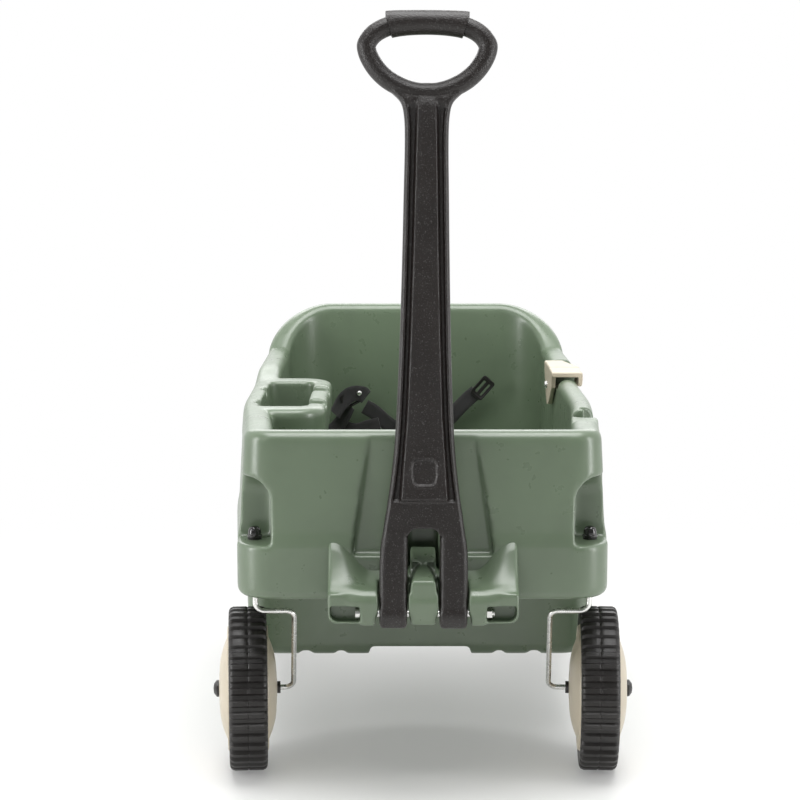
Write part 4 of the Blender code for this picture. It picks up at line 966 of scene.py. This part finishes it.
def tyre(name, place, body_name):
    """A tread of cross lugs round a smooth carcass, as one closed surface."""
    half = TYRE_WIDTH / 2
    seat = TYRE_SEAT_RADIUS + SEAT_GAP
    # radius, place across the tyre, and how much of the lugs' depth reaches there
    profile = [(seat, -half + 0.004, 0), (seat + 0.004, -half + 0.0008, 0),
               (seat + 0.008, -half, 0), (WHEEL_RADIUS - 0.0110, -half, 0),
               (WHEEL_RADIUS - 0.0080, -half, 0.4), (WHEEL_RADIUS - 0.0042, -half + 0.0006, 1),
               (WHEEL_RADIUS - 0.0016, -half + 0.0024, 1), (WHEEL_RADIUS, -half + 0.006, 1),
               (WHEEL_RADIUS, -0.0050, 1), (WHEEL_RADIUS, -0.0016, 1),
               (WHEEL_RADIUS - 0.0004, -0.0008, 1),
               (WHEEL_RADIUS - 0.0010, 0.0, 0.8)]
    profile += [(r, -a, lug_share) for r, a, lug_share in reversed(profile[:-1])]
    rings = []
    for k in range(LUGS * LUG_STEPS):
        a = 2 * math.pi * k / (LUGS * LUG_STEPS)
        phase = (k % LUG_STEPS) / LUG_STEPS
        low = 1 - smooth_step((abs(phase - 0.5) - 0.20) / 0.10)
        ring = []
        for radius, along, lug_share in profile:
            r = radius - LUG_DEPTH * lug_share * (1 - low)
            ring.append((along, r * math.cos(a), r * math.sin(a)))
        rings.append(ring)
    obj = loft("tread_" + name, rings, closed_path=True)
    piece(obj, body_name, "tyre_plastic", "tyre_" + name, shift=False, place=place, smooth=40)


def hub(name, place, body_name):
    """A domed disc with turned steps, and the pale band inside the tyre."""
    half, bulge = TYRE_WIDTH / 2, HUB_WIDTH / 2
    bore = ROD_RADIUS + 0.0004
    one = [(bore, -bulge), (0.0110, -bulge), (0.0125, -bulge + 0.0006), (0.0150, -bulge + 0.0030),
           (0.0165, -bulge + 0.0016), (0.0190, -bulge + 0.0004), (0.0240, -bulge + 0.0008)]
    for k in range(1, 9):
        t = k / 8
        one.append((0.0240 + 0.0430 * t, -bulge + 0.0008 + 0.0112 * t ** 1.8))
    one += [(0.0685, -bulge + 0.0132), (0.0700, -bulge + 0.0126), (0.0745, -half - 0.0018),
            (0.0765, -half - 0.0016), (0.0778, -half + 0.0002), (TYRE_SEAT_RADIUS, -half + 0.002)]
    profile = one + [(r, -a) for r, a in reversed(one)]
    obj = lathe("disc_" + name, profile, "X", (0, 0, 0), 128)
    piece(obj, body_name, "tan_plastic", "hub_" + name, shift=False, place=place, smooth=28)


def wheel_places():
    """Each wheel's place, its caster's place or None, and its side."""
    places = {}
    for side, sign in (("left", -1), ("right", 1)):
        caster = (Matrix.Translation((sign * STEM_X, STEM_Y - CENTRE_Y, 0))
                  @ Matrix.Rotation(-TOE[side], 4, "Z"))
        front = caster @ Matrix.Translation((sign * WHEEL_OUTBOARD[side], TRAIL, WHEEL_RADIUS))
        rear = Matrix.Translation((sign * REAR_WHEEL_X, REAR_AXLE_Y - CENTRE_Y, WHEEL_RADIUS))
        places["front_" + side] = (front, caster, side)
        places["rear_" + side] = (rear, None, side)
    return places


def round_corners(corners, bend, steps=12):
    """A line through corners, each turned on an arc of radius bend."""
    points = [corners[0]]
    for before, corner, after in zip(corners, corners[1:], corners[2:]):
        u, w = (before - corner).normalized(), (after - corner).normalized()
        half_angle = u.angle(w) / 2
        start = bend / math.tan(half_angle)
        centre = corner + (u + w).normalized() * bend / math.sin(half_angle)
        a, b = corner + u * start - centre, corner + w * start - centre
        turn = a.angle(b)
        for k in range(steps + 1):
            t = k / steps
            points.append(centre + (math.sin((1 - t) * turn) * a + math.sin(t * turn) * b)
                          / math.sin(turn))
    return points + [corners[-1]]


def caster_rod(side, caster):
    """The bent rod: swivel stem, run towards the middle, leg, and the wheel's axle."""
    outward = 1 if side == "right" else -1
    reach = outward * (WHEEL_OUTBOARD[side] + HUB_WIDTH / 2 + SEAT_GAP + 0.0036)
    corners = [Vector(c) for c in ((0, 0, LEDGE_Z + 0.012), (0, 0, ROD_RUN_Z),
                                   (-outward * ROD_INWARD, 0.0, ROD_RUN_Z),
                                   (-outward * ROD_INWARD, TRAIL, WHEEL_RADIUS),
                                   (reach, TRAIL, WHEEL_RADIUS))]
    rod = tube("stem_" + side, round_corners(corners, ROD_BEND), ROD_RADIUS, 24)
    piece(rod, "caster_" + side, "zinc_steel", "caster_rod_" + side, shift=False,
          place=caster, smooth=40)


def caster_cap(side, caster):
    """The domed push-on cap at the stem's top, with its flange and its bore."""
    bore = ROD_RADIUS + 0.0004
    dome = [(0, 0.0160), (0.0020, 0.0159), (0.0040, 0.0153), (0.0058, 0.0142), (0.0070, 0.0126),
            (0.0077, 0.0104), (0.0080, 0.0075), (0.0080, 0.0056), (0.0092, 0.0050),
            (0.0092, 0.0032), (0.0088, 0.0027), (bore, 0.0027), (bore, 0.0125), (0, 0.0125)]
    cap = lathe("cap_" + side, [(r, LEDGE_Z + z) for r, z in dome], "Z", segments=48)
    piece(cap, "caster_" + side, "gloss_cap", "caster_cap_" + side, shift=False,
          place=caster, smooth=30)


def wheels():
    for name, (place, caster, side) in wheel_places().items():
        tyre(name, place, "wheel_" + name)
        hub(name, place, "wheel_" + name)
        if caster is not None:
            caster_rod(side, caster)
            caster_cap(side, caster)


# ---------------------------------------------------------------- seat belts
def ribbon(name, route, width, thickness=0.0020):
    """A flat strap through (point, width direction) stations, on a smooth curve."""
    count, steps = len(route), 6
    fine = []
    for i in range((count - 1) * steps + 1):
        k = min(i // steps, count - 2)
        near = [route[min(max(k + j, 0), count - 1)] for j in (-1, 0, 1, 2)]
        fine.append([smooth_between([Vector(n[part]) for n in near], i / steps - k)
                     for part in (0, 1)])
    # the section: thin edges, a selvedge on each side, a slightly thinner middle
    half = ((-1, -0.35), (-0.93, -1), (-0.5, -0.8), (0, -0.75), (0.5, -0.8), (0.93, -1),
            (1, -0.35))
    section = half + tuple((-a, -b) for a, b in half)
    rings = []
    for i, (p, wide) in enumerate(fine):
        ahead = (fine[min(i + 1, len(fine) - 1)][0] - fine[max(i - 1, 0)][0]).normalized()
        wide = (wide - ahead * wide.dot(ahead)).normalized()
        flat = ahead.cross(wide)
        rings.append([p + wide * a * width / 2 + flat * b * thickness / 2 for a, b in section])
    return loft(name, rings)


def buckle(name, centre, turn, size, slots):
    """A moulded buckle: rounded plate, raised border, and openings for the strap."""
    w, h, t = size
    obj = prism(name, round_outline((-w, -h), (w, h), 0.0045, 6), -t, t, "Y")
    cuts = [prism("hole", round_outline((-w * 0.62, z - s), (w * 0.62, z + s), s * 0.8, 4),
                  -0.02, 0.02, "Y") for z, s in slots]
    cuts.append(prism("dish", round_outline((-w * 0.8, -h * 0.84), (w * 0.8, h * 0.84), 0.003, 4),
                      -t - 0.01, -t + 0.0008, "Y"))
    combine(obj, cuts, "DIFFERENCE")
    mod = obj.modifiers.new("edge", "BEVEL")
    mod.width, mod.segments = 0.0007, 2
    bake(obj)
    obj.data.transform(Matrix.Translation(centre) @ Matrix.Rotation(turn, 4, "Y"))
    return obj


def seat_belt(seat, facing):
    """One seat's lap belt, lying along the foot of its back wall."""
    back = BODY_LENGTH - SEAT_WALL_INSET if facing > 0 else SEAT_WALL_INSET

    def at(x, off, z):
        """x across the seat, off from its back wall, z above the seat."""
        return (x * facing, back - facing * off, SEAT_Z + z)

    def strap(tag, width, *stations):
        up = (0.25 * facing, 0, 1)
        return ribbon(f"{seat}_strap_{tag}", [(at(*s), up) for s in stations], width)

    def belt(obj, slot, part, smooth):
        piece(obj, "wagon_body", slot, f"{seat}_belt_{part}", smooth=smooth)

    belt(strap("low", 0.021, (-0.118, 0.0130, 0.052), (-0.098, 0.0160, 0.046),
               (-0.078, 0.0130, 0.051), (-0.058, 0.0165, 0.056)), "webbing", "middle", 50)
    runs = {"left": ((-0.146, 0.005, 0.040), (-0.134, 0.010, 0.044), (-0.124, 0.013, 0.054),
                     (-0.113, 0.017, 0.072), (-0.106, 0.020, 0.086)),
            "middle": ((-0.082, 0.014, 0.084), (-0.066, 0.011, 0.074), (-0.050, 0.013, 0.060),
                       (-0.034, 0.010, 0.048), (-0.016, 0.006, 0.040)),
            "right": ((0.030, 0.006, 0.046), (0.048, 0.012, 0.058), (0.066, 0.014, 0.077),
                      (0.086, 0.019, 0.098), (0.098, 0.021, 0.108))}
    for tag, stations in runs.items():
        belt(strap(tag, 0.024, *stations), "webbing", tag, 50)
    # the left strap's end is folded back over its buckle
    belt(strap("fold", 0.025, (-0.130, 0.0190, 0.072), (-0.117, 0.0245, 0.094),
               (-0.102, 0.0275, 0.106), (-0.086, 0.0265, 0.106), (-0.080, 0.0215, 0.100)),
         "webbing", "left", 50)
    clasp = buckle(f"{seat}_clasp", at(-0.104, 0.0215, 0.098), -0.5 * facing,
                   (0.016, 0.012, 0.0042), ((-0.006, 0.0018), (0.0055, 0.0018)))
    belt(clasp, "dark_plastic", "buckle", 30)
    tongue = buckle(f"{seat}_tongue", at(0.108, 0.0215, 0.115), -0.85 * facing,
                    (0.0185, 0.0115, 0.0034), ((0.0045, 0.0022), (-0.0050, 0.0018)))
    belt(tongue, "dark_plastic", "tongue", 30)
    # the press button's and the rivets' heads stand towards the seat's front
    head = ((0, -0.0022), (0.0022, -0.0020), (0.0036, -0.0010), (0.0040, 0.0008), (0, 0.0008))
    belt(lathe(f"{seat}_button", [(r, y * facing) for r, y in head], "Y",
               at(-0.0905, 0.0290, 0.1075), 32), "zinc_steel", "buckle", 40)
    head = ((0, 0.0035), (0.0018, 0.0033), (0.0036, 0.0026), (0.0048, 0.0012), (0.0052, 0.0),
            (0, 0.0))
    for tag, x in (("left", -0.148), ("right", 0.024)):
        belt(lathe(f"{seat}_rivet_{tag}", [(r, -y * facing) for r, y in head], "Y",
                   at(x, 0.006, 0.046), 32), "zinc_steel", "anchor_" + tag, 40)


def carried_over():
    """Gives every CAD node the material of its slot."""
    slots = {row["node"]: row["material_slot"] for row in frame["record"]["subparts"]}
    for node, obj in frame["nodes"].items():
        for slot in obj.material_slots:
            slot.material = MATS[slots[node]]


camera()
studio()
body()
hitch()
door()
latch()
handle()
grip_cover()
wheels()
seat_belt("rear", 1)
seat_belt("front", -1)
carried_over()
